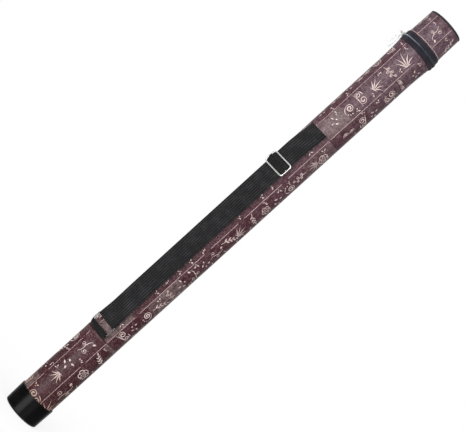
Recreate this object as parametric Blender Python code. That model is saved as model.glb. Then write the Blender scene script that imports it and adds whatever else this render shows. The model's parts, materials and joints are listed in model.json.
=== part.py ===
"""Flute case: a stiff tube in a leather-look cover, standing on a moulded foot cap, with a zipped lid
at its top and a webbing carrying strap down one side.

Metres, +Z up along the tube towards the lid, origin at the centre of the foot cap's underside.
Angles run round the tube from +X towards +Y.
"""

import math

import bmesh
import bpy
from mathutils import Matrix, Vector

# Whole case
CASE_LENGTH = 0.860
COVER_RADIUS = 0.030
LID_LENGTH = 0.0554
GAP = 0.0003
OVERRUN = 0.001
SEGMENTS = 48

# Directions round the tube, in degrees
STRAP_ANGLE = 242.5
SLIDER_ANGLE = 180.0
HINGE_START_ANGLE = 82.5
HINGE_END_ANGLE = 165.0

# Walls
COVER_WALL = 0.0011
TUBE_WALL = 0.0016
LINING_WALL = 0.0012
PAD_DEPTH = 0.005
BOARD_DEPTH = 0.0014

# Foot cap
CAP_HEIGHT = 0.0358
CAP_FLOOR = 0.002
CAP_RIM_WALL = 0.0014
CAP_DRAFT = 0.0009
CAP_CORNER = 0.0025
CAP_RIM_ROUND = 0.0004
CAP_SEAT_HEIGHT = 0.0083

# Cover seams and flare
LOWER_SEAM_HEIGHT = 0.16855
UPPER_COVER_LENGTH = 0.19175
HEM_COVERING = 0.0001
HEM_FLAT = 0.004
HEM_FADE = 0.018
FLARE_LENGTH = 0.042
FLARE_RISE = 0.0018
LID_LIP_RISE = 0.0015
LID_SHOULDER = 0.006
LID_SHOULDER_RISE = 0.0006
LID_TOP_DROP = 0.0001

# Zip
BAND_HEIGHT = 0.0191
HEM_RISE = 0.0011
TAPE_WALL = 0.0011
COIL_HEIGHT = 0.0021
COIL_WALL = 0.0008
STOP_LENGTH = 0.0018
STOP_STAND = 0.0002
HINGE_STRIP_WALL = 0.0014
HINGE_AXIS_CLEARANCE = 0.0002

# Zip slider and its pull
SLIDER_CLEARANCE = 0.0006
SLIDER_PLATE = 0.001
SLIDER_LENGTH = 0.011
SLIDER_WIDE = 0.0083
SLIDER_NARROW = 0.0066
SLIDER_ROUND = 0.0012
FLANGE_DEPTH = 0.0013
FLANGE_WALL = 0.0008
FLANGE_LENGTH = 0.007
BAIL_WIRE = 0.00105
BAIL_SPAN = 0.0072
BAIL_CORNER = 0.0015
EYE_PLAY = 0.0004
EYE_RIM = 0.00145
EYE_CLEARANCE = 0.0003
PULL_LENGTH = 0.0296
PULL_WIDTH = 0.0072
PULL_PLATE = 0.0012
PULL_CORNER = 0.0024
PULL_NECK = 0.0046
PULL_SHOULDER = 0.0016
PULL_SLOT_WIDTH = 0.0030
PULL_SLOT_LENGTH = 0.0135
PULL_SLOT_DROP = 0.0165
PULL_LEAN_DEG = 1.5

# Lid
PIPING_WIRE = 0.00145
PIPING_SEAT = 0.0011
END_DISC_EDGE = 0.0012
END_DISC_CROWN = 0.0008

# Strap webbing
WEBBING_WIDTH = 0.0345
WEBBING_THICKNESS = 0.0013
STRAP_LIFT = 0.0004
SLEEVE_WALL = 0.0007
SLEEVE_INSET = 0.001
STRAP_BEND_LENGTH = 0.030
RETURN_TAIL = 0.0125

# Slide buckle
BUCKLE_DROP = 0.07875
BUCKLE_ROOM = 0.0196
BUCKLE_PITCH = 0.0206
BUCKLE_WIRE = 0.00115
BUCKLE_SIDE_CLEARANCE = 0.0007
BUCKLE_BAR = 0.001
BUCKLE_CORNER = 0.003
HUMP_CLEARANCE = 0.0006

# Ring and its tab
RING_WIRE = 0.00115
RING_PITCH = 0.0164
RING_SIDE_CLEARANCE = 0.00095
RING_CORNER = 0.003
RING_PLAY = 0.00065
TAB_PLAY = 0.00035
TAB_REACH = 0.00765

# Worked out round the tube
COVER_INNER = COVER_RADIUS - COVER_WALL
TUBE_OUTER = COVER_INNER - GAP
TUBE_INNER = TUBE_OUTER - TUBE_WALL
LINING_OUTER = TUBE_INNER - GAP
LINING_INNER = LINING_OUTER - LINING_WALL
CAP_BORE = COVER_RADIUS + GAP
CAP_RIM = CAP_BORE + CAP_RIM_WALL
CAP_BASE = CAP_RIM - CAP_DRAFT
HEM_RADIUS = COVER_RADIUS + HEM_RISE
TAPE_INNER = HEM_RADIUS + GAP
TAPE_OUTER = TAPE_INNER + TAPE_WALL
COIL_INNER = TAPE_OUTER + GAP
COIL_OUTER = COIL_INNER + COIL_WALL
HINGE_STRIP_OUTER = TAPE_INNER + HINGE_STRIP_WALL
HINGE_AXIS_RADIUS = HINGE_STRIP_OUTER + HINGE_AXIS_CLEARANCE
PLATE_INNER = COIL_OUTER + SLIDER_CLEARANCE
PLATE_OUTER = PLATE_INNER + SLIDER_PLATE
EYE_HOLE = BAIL_WIRE + EYE_PLAY
EYE_OUTER = EYE_HOLE + EYE_RIM
BAIL_RADIUS = PLATE_OUTER + EYE_CLEARANCE + EYE_OUTER

# Worked out along the tube
PARTING_HEIGHT = CASE_LENGTH - LID_LENGTH
UPPER_SEAM_HEIGHT = PARTING_HEIGHT - UPPER_COVER_LENGTH
BUCKLE_HEIGHT = UPPER_SEAM_HEIGHT - BUCKLE_DROP
BODY_TOP = PARTING_HEIGHT - GAP
LID_BOTTOM = PARTING_HEIGHT + GAP
BAND_BOTTOM = PARTING_HEIGHT - BAND_HEIGHT / 2
BAND_TOP = PARTING_HEIGHT + BAND_HEIGHT / 2
TUBE_BOTTOM = CAP_FLOOR + GAP
PIPING_HEIGHT = CASE_LENGTH - PIPING_WIRE
LID_COVER_TOP = PIPING_HEIGHT - PIPING_WIRE - GAP
END_DISC_BOTTOM = LID_COVER_TOP + GAP
BOARD_BOTTOM = LID_COVER_TOP - BOARD_DEPTH
LID_TUBE_TOP = BOARD_BOTTOM - GAP
LID_PAD_BOTTOM = LID_TUBE_TOP - PAD_DEPTH

# Worked out through the strap, from the cover outwards
RETURN_INNER = COVER_RADIUS + STRAP_LIFT
RETURN_OUTER = RETURN_INNER + WEBBING_THICKNESS
RUN_INNER = RETURN_OUTER + GAP
RUN_OUTER = RUN_INNER + WEBBING_THICKNESS
BUCKLE_RADIUS = RUN_OUTER + GAP + BUCKLE_WIRE
SLEEVE_BORE = BUCKLE_BAR + GAP
SLEEVE_RADIUS = SLEEVE_BORE + SLEEVE_WALL
BAR_RADIUS = RUN_OUTER + GAP + SLEEVE_RADIUS
HUMP_FOOT = RUN_OUTER + GAP
HUMP_PEAK = BAR_RADIUS + SLEEVE_RADIUS + GAP
STRAP_FOLD = RING_WIRE + RING_PLAY
RING_RADIUS = RETURN_OUTER + STRAP_FOLD
TAB_FOLD = RING_WIRE + TAB_PLAY
RING_LOW_BAR = LOWER_SEAM_HEIGHT + TAB_REACH
RING_HIGH_BAR = RING_LOW_BAR + RING_PITCH
ANCHOR_RADIUS = COVER_RADIUS + GAP
ANCHOR_TOP = UPPER_SEAM_HEIGHT - GAP / 2
WRAP_BOTTOM = BUCKLE_HEIGHT + BUCKLE_PITCH / 2 + BUCKLE_ROOM
RETURN_BOTTOM = RING_HIGH_BAR + RETURN_TAIL
RETURN_TOP = BUCKLE_HEIGHT - SLEEVE_RADIUS

# Shares of the sizes that they follow
FLARE_STEP_SHARES = (0.0, 0.25, 0.5, 0.75, 1.0)
WRAP_STEP_SHARES = (0.0, 0.08, 0.2, 0.35, 0.5, 0.65, 0.8, 0.92, 1.0)
BEND_STEP_SHARES = (0.0, 0.15, 0.3, 0.45, 0.6, 0.75, 0.88, 1.0)
HUMP_STEPS = 16
FOLD_STEPS = 8
WEBBING_STEPS = 8
HEM_FULL_DEG = 36.0
HEM_CLEAR_DEG = 46.0


def clear_scene():
    for old in list(bpy.data.objects):
        bpy.data.objects.remove(old, do_unlink=True)


def make_material(name, colour, roughness, metallic=0.0):
    material = bpy.data.materials.new(name)
    material.use_nodes = True
    shader = material.node_tree.nodes["Principled BSDF"]
    shader.inputs["Base Color"].default_value = (*colour, 1.0)
    shader.inputs["Roughness"].default_value = roughness
    shader.inputs["Metallic"].default_value = metallic
    material.diffuse_color = (*colour, 1.0)
    return material


def smooth(share):
    """Eases from 0 to 1 with no corner at either end."""
    share = min(1.0, max(0.0, share))
    return share * share * (3 - 2 * share)


def outward(angle_deg):
    angle = math.radians(angle_deg)
    return Vector((math.cos(angle), math.sin(angle), 0))


def side_frame(angle_deg, radius, height):
    """A frame on the tube's side: X round the tube, Y up the tube, Z outwards."""
    out = outward(angle_deg)
    up = Vector((0, 0, 1))
    along = up.cross(out)
    frame = Matrix((along, up, out)).transposed().to_4x4()
    frame.translation = out * radius + up * height
    return frame


def make_pivot(name, place, parent=None):
    pivot = bpy.data.objects.new(name, None)
    bpy.context.collection.objects.link(pivot)
    pivot.location = place
    if parent:
        pivot.parent = parent
        pivot.location = Vector(place) - parent.location
    return pivot


def pivot_place(pivot):
    place = pivot.location.copy()
    if pivot.parent:
        place += pivot.parent.location
    return place


def finish(name, bm, material, pivot=None, sharp_deg=35.0):
    """Turns world-space geometry into an object whose origin is its pivot's place."""
    bmesh.ops.recalc_face_normals(bm, faces=bm.faces)
    mesh = bpy.data.meshes.new(name)
    bm.to_mesh(mesh)
    bm.free()
    mesh.materials.append(material)
    mesh.shade_smooth()
    mesh.set_sharp_from_angle(angle=math.radians(sharp_deg))
    piece = bpy.data.objects.new(name, mesh)
    bpy.context.collection.objects.link(piece)
    if pivot:
        mesh.transform(Matrix.Translation(-pivot_place(pivot)))
        piece.parent = pivot
    return piece


def turned(name, outline, material, pivot=None, closed=True):
    """Turns an outline of (radius, height) points round the tube's axis."""
    bm = bmesh.new()
    points = [bm.verts.new((radius, 0, height)) for radius, height in outline]
    edges = [bm.edges.new(pair) for pair in zip(points, points[1:])]
    if closed:
        edges.append(bm.edges.new((points[-1], points[0])))
    bmesh.ops.spin(
        bm,
        geom=points + edges,
        cent=(0, 0, 0),
        axis=(0, 0, 1),
        angle=2 * math.pi,
        steps=SEGMENTS,
        use_merge=True,
    )
    bmesh.ops.remove_doubles(bm, verts=bm.verts, dist=GAP / 1000)
    return finish(name, bm, material, pivot)


def arc_piece(name, outline, start_deg, end_deg, material, pivot=None):
    """Turns a closed outline through part of a circle and closes both its ends."""
    bm = bmesh.new()
    steps = max(1, round(abs(end_deg - start_deg) * SEGMENTS / 360))
    first = [bm.verts.new(outward(start_deg) * r + Vector((0, 0, z))) for r, z in outline]
    edges = [bm.edges.new((a, b)) for a, b in zip(first, first[1:] + first[:1])]
    spun = bmesh.ops.spin(
        bm,
        geom=first + edges,
        cent=(0, 0, 0),
        axis=(0, 0, 1),
        angle=math.radians(end_deg - start_deg),
        steps=steps,
    )
    last = [item for item in spun["geom_last"] if isinstance(item, bmesh.types.BMEdge)]
    bmesh.ops.holes_fill(bm, edges=edges)
    bmesh.ops.holes_fill(bm, edges=last)
    return finish(name, bm, material, pivot)


def box_outline(inner, outer, bottom, top):
    return [(inner, bottom), (outer, bottom), (outer, top), (inner, top)]


def shaped_ring(name, outline_at, material, pivot=None):
    """A ring whose outline changes round the tube. outline_at(angle) gives (radius, height) points."""
    bm = bmesh.new()
    rings = []
    for step in range(SEGMENTS):
        angle_deg = 360 * step / SEGMENTS
        out = outward(angle_deg)
        rings.append([bm.verts.new(out * r + Vector((0, 0, z))) for r, z in outline_at(angle_deg)])
    for ring, following in zip(rings, rings[1:] + rings[:1]):
        for i in range(len(ring)):
            j = (i + 1) % len(ring)
            bm.faces.new((ring[i], following[i], following[j], ring[j]))
    return finish(name, bm, material, pivot)


def webbing_piece(name, stations, width, thickness, material, pivot=None):
    """Webbing down the strap's line. A station is (radius, height, roundness) of the inner face:
    roundness 0 is flat across, and roundness 1 / radius lies round the tube."""
    bm = bmesh.new()
    out = outward(STRAP_ANGLE)
    up = Vector((0, 0, 1))
    along = up.cross(out)
    rings = []
    for i, (radius, height, roundness) in enumerate(stations):
        before = stations[max(0, i - 1)]
        after = stations[min(len(stations) - 1, i + 1)]
        heading = Vector((after[0] - before[0], after[1] - before[1])).normalized()
        normal = Vector((-heading.y, heading.x))
        faces = []
        for depth in (0.0, thickness):
            row = []
            for step in range(WEBBING_STEPS + 1):
                across = width * (step / WEBBING_STEPS - 1 / 2)
                turn = across * roundness
                drop = (1 - math.cos(turn)) / roundness if roundness else 0.0
                sideways = across
                if roundness:
                    sideways = math.sin(turn) * (1 / roundness + depth * normal.x)
                place = out * (radius + depth * normal.x * math.cos(turn) - drop)
                place += up * (height + depth * normal.y) + along * sideways
                row.append(bm.verts.new(place))
            faces.append(row)
        rings.append(faces[0] + faces[1][::-1])
    for ring, following in zip(rings, rings[1:]):
        for i in range(len(ring)):
            j = (i + 1) % len(ring)
            bm.faces.new((ring[i], ring[j], following[j], following[i]))
    bm.faces.new(rings[0])
    bm.faces.new(rings[-1][::-1])
    return finish(name, bm, material, pivot)


def rounded_loop(width, height, corner, steps=4):
    """The centre line of a wire loop with rounded corners, in its own plane."""
    points = []
    for quarter in range(4):
        side_x = (1, -1, -1, 1)[quarter]
        side_y = (1, 1, -1, -1)[quarter]
        centre = Vector((side_x * (width / 2 - corner), side_y * (height / 2 - corner), 0))
        for step in range(steps + 1):
            angle = math.radians(90 * (quarter + step / steps))
            points.append(centre + Vector((math.cos(angle), math.sin(angle), 0)) * corner)
    return points


def wire_piece(name, points, wire, frame, material, pivot=None, cyclic=True):
    """Round wire bent along points that are given in frame."""
    curve = bpy.data.curves.new(name, "CURVE")
    curve.dimensions = "3D"
    curve.bevel_depth = wire
    curve.bevel_resolution = 3
    curve.use_fill_caps = not cyclic
    spline = curve.splines.new("POLY")
    spline.points.add(len(points) - 1)
    for control, point in zip(spline.points, points):
        control.co = (*point, 1.0)
    spline.use_cyclic_u = cyclic
    source = bpy.data.objects.new(name + "_path", curve)
    mesh = bpy.data.meshes.new_from_object(source)
    bm = bmesh.new()
    bm.from_mesh(mesh)
    bpy.data.objects.remove(source)
    bpy.data.meshes.remove(mesh)
    bmesh.ops.remove_doubles(bm, verts=bm.verts, dist=GAP / 1000)
    bmesh.ops.transform(bm, matrix=frame, verts=bm.verts)
    return finish(name, bm, material, pivot)


def plate_mesh(outline, low, high, frame):
    """A flat plate: an outline in frame's XY plane, from low to high along its Z."""
    bm = bmesh.new()
    face = bm.faces.new([bm.verts.new((x, y, low)) for x, y in outline])
    risen = bmesh.ops.extrude_face_region(bm, geom=[face], use_keep_orig=True)
    moved = [item for item in risen["geom"] if isinstance(item, bmesh.types.BMVert)]
    bmesh.ops.translate(bm, vec=(0, 0, high - low), verts=moved)
    bmesh.ops.transform(bm, matrix=frame, verts=bm.verts)
    return bm


def cut_or_join(piece, tool, operation):
    """Cuts piece with tool, or joins tool to it, and leaves tool as a hidden guide."""
    tool.hide_render = True
    tool.display_type = "WIRE"
    change = piece.modifiers.new(tool.name, "BOOLEAN")
    change.operation = operation
    change.object = tool
    change.solver = "EXACT"


def ease_outline(points, low, high, rise):
    """Adds the outer points of a stretch that eases outwards by rise from low to high."""
    for share in FLARE_STEP_SHARES:
        points.append((COVER_RADIUS + rise * share * share, low + (high - low) * share))


def hem_rise(angle_deg, layers):
    """How far a hem is pushed out where it covers the sewn end of so many layers of webbing."""
    off = abs(angle_deg - STRAP_ANGLE)
    off = min(off, 360 - off)
    share = 1 - smooth((off - HEM_FULL_DEG) / (HEM_CLEAR_DEG - HEM_FULL_DEG))
    return share * (layers * (WEBBING_THICKNESS + GAP) + HEM_COVERING)


def make_case_shell(skins):
    turned(
        "rigid_tube",
        box_outline(TUBE_INNER, TUBE_OUTER, TUBE_BOTTOM, BODY_TOP),
        skins["board"],
    )
    turned(
        "tube_lining",
        box_outline(LINING_INNER, LINING_OUTER, TUBE_BOTTOM + PAD_DEPTH + GAP, BODY_TOP),
        skins["lining"],
    )
    pad_top = TUBE_BOTTOM + PAD_DEPTH
    turned(
        "bottom_pad",
        [(0, TUBE_BOTTOM), (LINING_OUTER, TUBE_BOTTOM), (LINING_OUTER, pad_top), (0, pad_top)],
        skins["foam"],
        closed=False,
    )


def make_foot_cap(skins):
    corner = []
    for step in range(5):
        angle = math.radians(90 * (step / 4 - 1))
        corner.append(
            (
                CAP_BASE - CAP_CORNER + CAP_CORNER * math.cos(angle),
                CAP_CORNER + CAP_CORNER * math.sin(angle),
            )
        )
    outline = [(0, 0)] + corner
    outline += [
        (CAP_RIM, CAP_HEIGHT - CAP_RIM_ROUND),
        (CAP_RIM - CAP_RIM_ROUND, CAP_HEIGHT),
        (CAP_BORE + CAP_RIM_ROUND, CAP_HEIGHT),
        (CAP_BORE, CAP_HEIGHT - CAP_RIM_ROUND),
        (CAP_BORE, CAP_SEAT_HEIGHT),
        (COVER_INNER, CAP_SEAT_HEIGHT),
        (COVER_INNER, CAP_FLOOR),
        (0, CAP_FLOOR),
    ]
    turned("bottom_cap", outline, skins["cap"], closed=False)


def make_covers(skins):
    cover_bottom = CAP_SEAT_HEIGHT + GAP
    lower_top = LOWER_SEAM_HEIGHT - GAP / 2
    upper_bottom = UPPER_SEAM_HEIGHT + GAP / 2

    def lower_outline(angle_deg):
        rise = hem_rise(angle_deg, 2)
        return [
            (COVER_INNER, cover_bottom),
            (COVER_RADIUS, cover_bottom),
            (COVER_RADIUS, lower_top - HEM_FLAT - HEM_FADE),
            (COVER_RADIUS + rise / 3, lower_top - HEM_FLAT - HEM_FADE / 3),
            (COVER_RADIUS + rise, lower_top - HEM_FLAT),
            (COVER_RADIUS + rise, lower_top),
            (COVER_INNER, lower_top),
        ]

    def upper_outline(angle_deg):
        rise = hem_rise(angle_deg, 1)
        points = [
            (COVER_INNER, upper_bottom),
            (COVER_RADIUS + rise, upper_bottom),
            (COVER_RADIUS + rise, upper_bottom + HEM_FLAT),
            (COVER_RADIUS + rise / 3, upper_bottom + HEM_FLAT + HEM_FADE / 3),
            (COVER_RADIUS, upper_bottom + HEM_FLAT + HEM_FADE),
        ]
        flare_top = BAND_BOTTOM - GAP
        ease_outline(points, flare_top - FLARE_LENGTH, flare_top, FLARE_RISE)
        points += [(HEM_RADIUS, BAND_BOTTOM), (HEM_RADIUS, BODY_TOP), (COVER_INNER, BODY_TOP)]
        return points

    shaped_ring("cover_lower", lower_outline, skins["leather_low"])
    turned(
        "cover_middle",
        box_outline(
            COVER_INNER,
            COVER_RADIUS,
            LOWER_SEAM_HEIGHT + GAP / 2,
            UPPER_SEAM_HEIGHT - GAP / 2,
        ),
        skins["leather_mid"],
    )
    shaped_ring("cover_upper", upper_outline, skins["leather_high"])


def zip_ends(clearance, radius):
    """Start and end angle of what follows the zip, drawn in by a clearance along the tape."""
    trim = math.degrees(clearance / radius)
    return HINGE_END_ANGLE + trim, HINGE_START_ANGLE + 360 - trim


def make_zip_half(side, edge, parting, skins, pivot=None):
    """One side's tape, coil, stops and hinge strip, between its outer edge and the parting line."""
    towards = 1 if parting < edge else -1
    coil_edge = parting + towards * COIL_HEIGHT
    low, high = sorted((parting, edge))
    coil_low, coil_high = sorted((parting, coil_edge))
    start, end = zip_ends(GAP, TAPE_INNER)
    arc_piece(
        f"zip_tape_{side}",
        box_outline(TAPE_INNER, TAPE_OUTER, low, high),
        start,
        end,
        skins["tape"],
        pivot,
    )
    coil_start, coil_end = zip_ends(2 * GAP + STOP_LENGTH, COIL_INNER)
    arc_piece(
        f"zip_coil_{side}",
        box_outline(COIL_INNER, COIL_OUTER, coil_low, coil_high),
        coil_start,
        coil_end,
        skins["coil"],
        pivot,
    )
    stop_turn = math.degrees(STOP_LENGTH / COIL_INNER)
    for label, first, last in (
        ("closed_end", start, start + stop_turn),
        ("open_end", end - stop_turn, end),
    ):
        arc_piece(
            f"zip_stop_{side}_{label}",
            box_outline(COIL_INNER, COIL_OUTER + STOP_STAND, coil_low, coil_high),
            first,
            last,
            skins["zip_metal"],
            pivot,
        )
    arc_piece(
        f"hinge_strip_{side}",
        box_outline(TAPE_INNER, HINGE_STRIP_OUTER, low, high),
        HINGE_START_ANGLE,
        HINGE_END_ANGLE,
        skins["leather_high"],
        pivot,
    )


def make_lid(skins, pivot):
    turned(
        "lid_tube",
        box_outline(TUBE_INNER, TUBE_OUTER, LID_BOTTOM, LID_TUBE_TOP),
        skins["board"],
        pivot,
    )
    turned(
        "lid_lining",
        box_outline(LINING_INNER, LINING_OUTER, LID_BOTTOM, LID_PAD_BOTTOM - GAP),
        skins["lining"],
        pivot,
    )
    turned(
        "lid_pad",
        [
            (0, LID_PAD_BOTTOM),
            (LINING_OUTER, LID_PAD_BOTTOM),
            (LINING_OUTER, LID_TUBE_TOP),
            (0, LID_TUBE_TOP),
        ],
        skins["foam"],
        pivot,
        closed=False,
    )
    turned(
        "lid_board",
        [
            (0, BOARD_BOTTOM),
            (TUBE_OUTER, BOARD_BOTTOM),
            (TUBE_OUTER, LID_COVER_TOP),
            (0, LID_COVER_TOP),
        ],
        skins["board"],
        pivot,
        closed=False,
    )
    turned(
        "lid_cover",
        [
            (COVER_INNER, LID_BOTTOM),
            (HEM_RADIUS, LID_BOTTOM),
            (HEM_RADIUS, BAND_TOP),
            (COVER_RADIUS + LID_LIP_RISE, BAND_TOP + GAP),
            (COVER_RADIUS + LID_SHOULDER_RISE, BAND_TOP + LID_SHOULDER),
            (COVER_RADIUS - LID_TOP_DROP, LID_COVER_TOP),
            (COVER_INNER, LID_COVER_TOP),
        ],
        skins["leather_high"],
        pivot,
    )
    piping_radius = COVER_RADIUS - PIPING_SEAT
    disc_radius = piping_radius - PIPING_WIRE - GAP
    turned(
        "lid_end_disc",
        [
            (0, END_DISC_BOTTOM),
            (disc_radius, END_DISC_BOTTOM),
            (disc_radius, END_DISC_BOTTOM + END_DISC_EDGE),
            (disc_radius / 2, END_DISC_BOTTOM + END_DISC_EDGE + END_DISC_CROWN * 3 / 4),
            (0, END_DISC_BOTTOM + END_DISC_EDGE + END_DISC_CROWN),
        ],
        skins["leather_high"],
        pivot,
        closed=False,
    )
    bead = []
    for step in range(10):
        angle = math.radians(360 * step / 10 + 90)
        bead.append(
            (
                piping_radius + PIPING_WIRE * math.cos(angle),
                PIPING_HEIGHT + PIPING_WIRE * math.sin(angle),
            )
        )
    turned("lid_piping", bead, skins["piping"], pivot)


def make_slider(skins, slider_pivot, pull_pivot):
    frame = side_frame(SLIDER_ANGLE, 0, PARTING_HEIGHT)
    half = SLIDER_LENGTH / 2
    wide = SLIDER_WIDE / 2
    narrow = SLIDER_NARROW / 2
    outline = [
        (-half, SLIDER_ROUND - wide),
        (SLIDER_ROUND - half, -wide),
        (0, -wide),
        (half - SLIDER_ROUND, -narrow),
        (half, SLIDER_ROUND - narrow),
        (half, narrow - SLIDER_ROUND),
        (half - SLIDER_ROUND, narrow),
        (0, wide),
        (SLIDER_ROUND - half, wide),
        (-half, wide - SLIDER_ROUND),
    ]
    plate = finish(
        "slider_body",
        plate_mesh(outline, PLATE_INNER, PLATE_OUTER, frame),
        skins["zip_metal"],
        slider_pivot,
    )
    flange_outline = [
        (-FLANGE_LENGTH / 2 - half / 3, -wide),
        (FLANGE_LENGTH / 2 - half / 3, -wide),
        (FLANGE_LENGTH / 2 - half / 3, FLANGE_WALL - wide),
        (-FLANGE_LENGTH / 2 - half / 3, FLANGE_WALL - wide),
    ]
    flange = finish(
        "slider_flange_guide",
        plate_mesh(flange_outline, PLATE_INNER - FLANGE_DEPTH, PLATE_INNER + SLIDER_PLATE / 2, frame),
        skins["zip_metal"],
        slider_pivot,
    )
    cut_or_join(plate, flange, "UNION")

    foot = PLATE_OUTER + GAP
    arch = [Vector((-BAIL_SPAN / 2, 0, foot))]
    for side, start_deg in ((-1, 180), (1, 90)):
        centre = Vector((side * (BAIL_SPAN / 2 - BAIL_CORNER), 0, BAIL_RADIUS - BAIL_CORNER))
        for step in range(4):
            angle = math.radians(start_deg - 30 * step)
            arch.append(centre + Vector((math.cos(angle), 0, math.sin(angle))) * BAIL_CORNER)
    arch.append(Vector((BAIL_SPAN / 2, 0, foot)))
    wire_piece(
        "slider_crown",
        arch,
        BAIL_WIRE,
        frame,
        skins["zip_metal"],
        slider_pivot,
        cyclic=False,
    )
    make_pull(skins, pull_pivot)


def make_pull(skins, pivot):
    """The flat pull hangs from the bail's bar, edge on to the tube."""
    out = outward(SLIDER_ANGLE)
    up = Vector((0, 0, 1))
    frame = Matrix((out, up, out.cross(up))).transposed().to_4x4()
    frame.translation = out * BAIL_RADIUS + up * PARTING_HEIGHT
    frame = frame @ Matrix.Rotation(math.radians(-PULL_LEAN_DEG), 4, "Z")
    half = PULL_WIDTH / 2
    outline = []
    for step in range(15):
        angle = math.radians(-15 + 210 * step / 14)
        outline.append((EYE_OUTER * math.cos(angle), EYE_OUTER * math.sin(angle)))
    outline += [(-EYE_OUTER, -PULL_NECK), (-half, -PULL_NECK - PULL_SHOULDER)]
    for side, start_deg in ((-1, 180), (1, 270)):
        for step in range(4):
            angle = math.radians(start_deg + 30 * step)
            outline.append(
                (
                    side * (half - PULL_CORNER) + PULL_CORNER * math.cos(angle),
                    PULL_CORNER - PULL_LENGTH + PULL_CORNER * math.sin(angle),
                )
            )
    outline += [(half, -PULL_NECK - PULL_SHOULDER), (EYE_OUTER, -PULL_NECK)]
    tab = finish(
        "pull_tab",
        plate_mesh(outline, -PULL_PLATE / 2, PULL_PLATE / 2, frame),
        skins["bright"],
        pivot,
    )
    reach = PULL_PLATE / 2 + OVERRUN
    hole_outline = []
    for step in range(16):
        angle = math.radians(360 * step / 16)
        hole_outline.append((EYE_HOLE * math.cos(angle), EYE_HOLE * math.sin(angle)))
    slot_outline = []
    slot_round = PULL_SLOT_WIDTH / 2
    slot_half = PULL_SLOT_LENGTH / 2 - slot_round
    for side, start_deg in ((1, 0), (-1, 180)):
        for step in range(7):
            angle = math.radians(start_deg + 30 * step)
            slot_outline.append(
                (
                    slot_round * math.cos(angle),
                    side * slot_half - PULL_SLOT_DROP + slot_round * math.sin(angle),
                )
            )
    for label, shape in (("pull_eye_cutter", hole_outline), ("pull_slot_cutter", slot_outline)):
        cutter = finish(label, plate_mesh(shape, -reach, reach, frame), skins["bright"], pivot)
        cut_or_join(tab, cutter, "DIFFERENCE")


def strap_stations():
    """The outer run from its sewn top, down the tube, round the ring's high bar and a little way back up."""
    stations = []
    for share in WRAP_STEP_SHARES:
        eased = smooth(share)
        radius = ANCHOR_RADIUS + (RUN_INNER - ANCHOR_RADIUS) * eased
        height = ANCHOR_TOP + (WRAP_BOTTOM - ANCHOR_TOP) * share
        stations.append((radius, height, (1 - eased) / ANCHOR_RADIUS))
    fold_outer = RING_RADIUS + STRAP_FOLD
    bend_top = RING_HIGH_BAR + STRAP_BEND_LENGTH
    for share in BEND_STEP_SHARES:
        radius = RUN_INNER + (fold_outer - RUN_INNER) * smooth(share)
        stations.append((radius, bend_top - STRAP_BEND_LENGTH * share, 0.0))
    for step in range(1, FOLD_STEPS + 1):
        angle = math.radians(180 * step / FOLD_STEPS)
        stations.append(
            (
                RING_RADIUS + STRAP_FOLD * math.cos(angle),
                RING_HIGH_BAR - STRAP_FOLD * math.sin(angle),
                0.0,
            )
        )
    stations.append((RETURN_OUTER, RETURN_BOTTOM - GAP, 0.0))
    return stations


def tab_stations():
    """Webbing folded round the ring's low bar, both ends sewn under the lower cover's hem."""
    hem_inner = COVER_RADIUS + GAP + WEBBING_THICKNESS
    hem_outer = hem_inner + GAP
    bottom = LOWER_SEAM_HEIGHT + GAP / 2
    reach = RING_LOW_BAR - bottom
    rise_shares = (0.0, 0.2, 0.4, 0.6, 0.8, 1.0)
    stations = []
    for share in rise_shares:
        eased = smooth(share)
        radius = hem_inner + (RING_RADIUS - TAB_FOLD - hem_inner) * eased
        stations.append((radius, bottom + reach * share, (1 - eased) / hem_inner))
    for step in range(1, FOLD_STEPS):
        angle = math.radians(180 - 180 * step / FOLD_STEPS)
        stations.append(
            (
                RING_RADIUS + TAB_FOLD * math.cos(angle),
                RING_LOW_BAR + TAB_FOLD * math.sin(angle),
                0.0,
            )
        )
    for share in reversed(rise_shares):
        eased = smooth(share)
        radius = hem_outer + (RING_RADIUS + TAB_FOLD - hem_outer) * eased
        stations.append((radius, bottom + reach * share, (1 - eased) / hem_outer))
    return stations


def hump_stations():
    """The outer run where it rises over the buckle's middle bar, between the two outer bars."""
    span = BUCKLE_PITCH - 2 * (BUCKLE_WIRE + HUMP_CLEARANCE)
    stations = []
    for step in range(HUMP_STEPS + 1):
        share = step / HUMP_STEPS
        rise = (1 - math.cos(2 * math.pi * share)) / 2
        stations.append(
            (
                HUMP_FOOT + (HUMP_PEAK - HUMP_FOOT) * rise,
                BUCKLE_HEIGHT + span * (1 / 2 - share),
                0.0,
            )
        )
    return stations


def bar_mesh(radius, length, frame, sides=12):
    """A round bar along frame's X."""
    bm = bmesh.new()
    bmesh.ops.create_cone(
        bm,
        cap_ends=True,
        segments=sides,
        radius1=radius,
        radius2=radius,
        depth=length,
        matrix=frame @ Matrix.Rotation(math.pi / 2, 4, "Y"),
    )
    return bm


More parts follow.
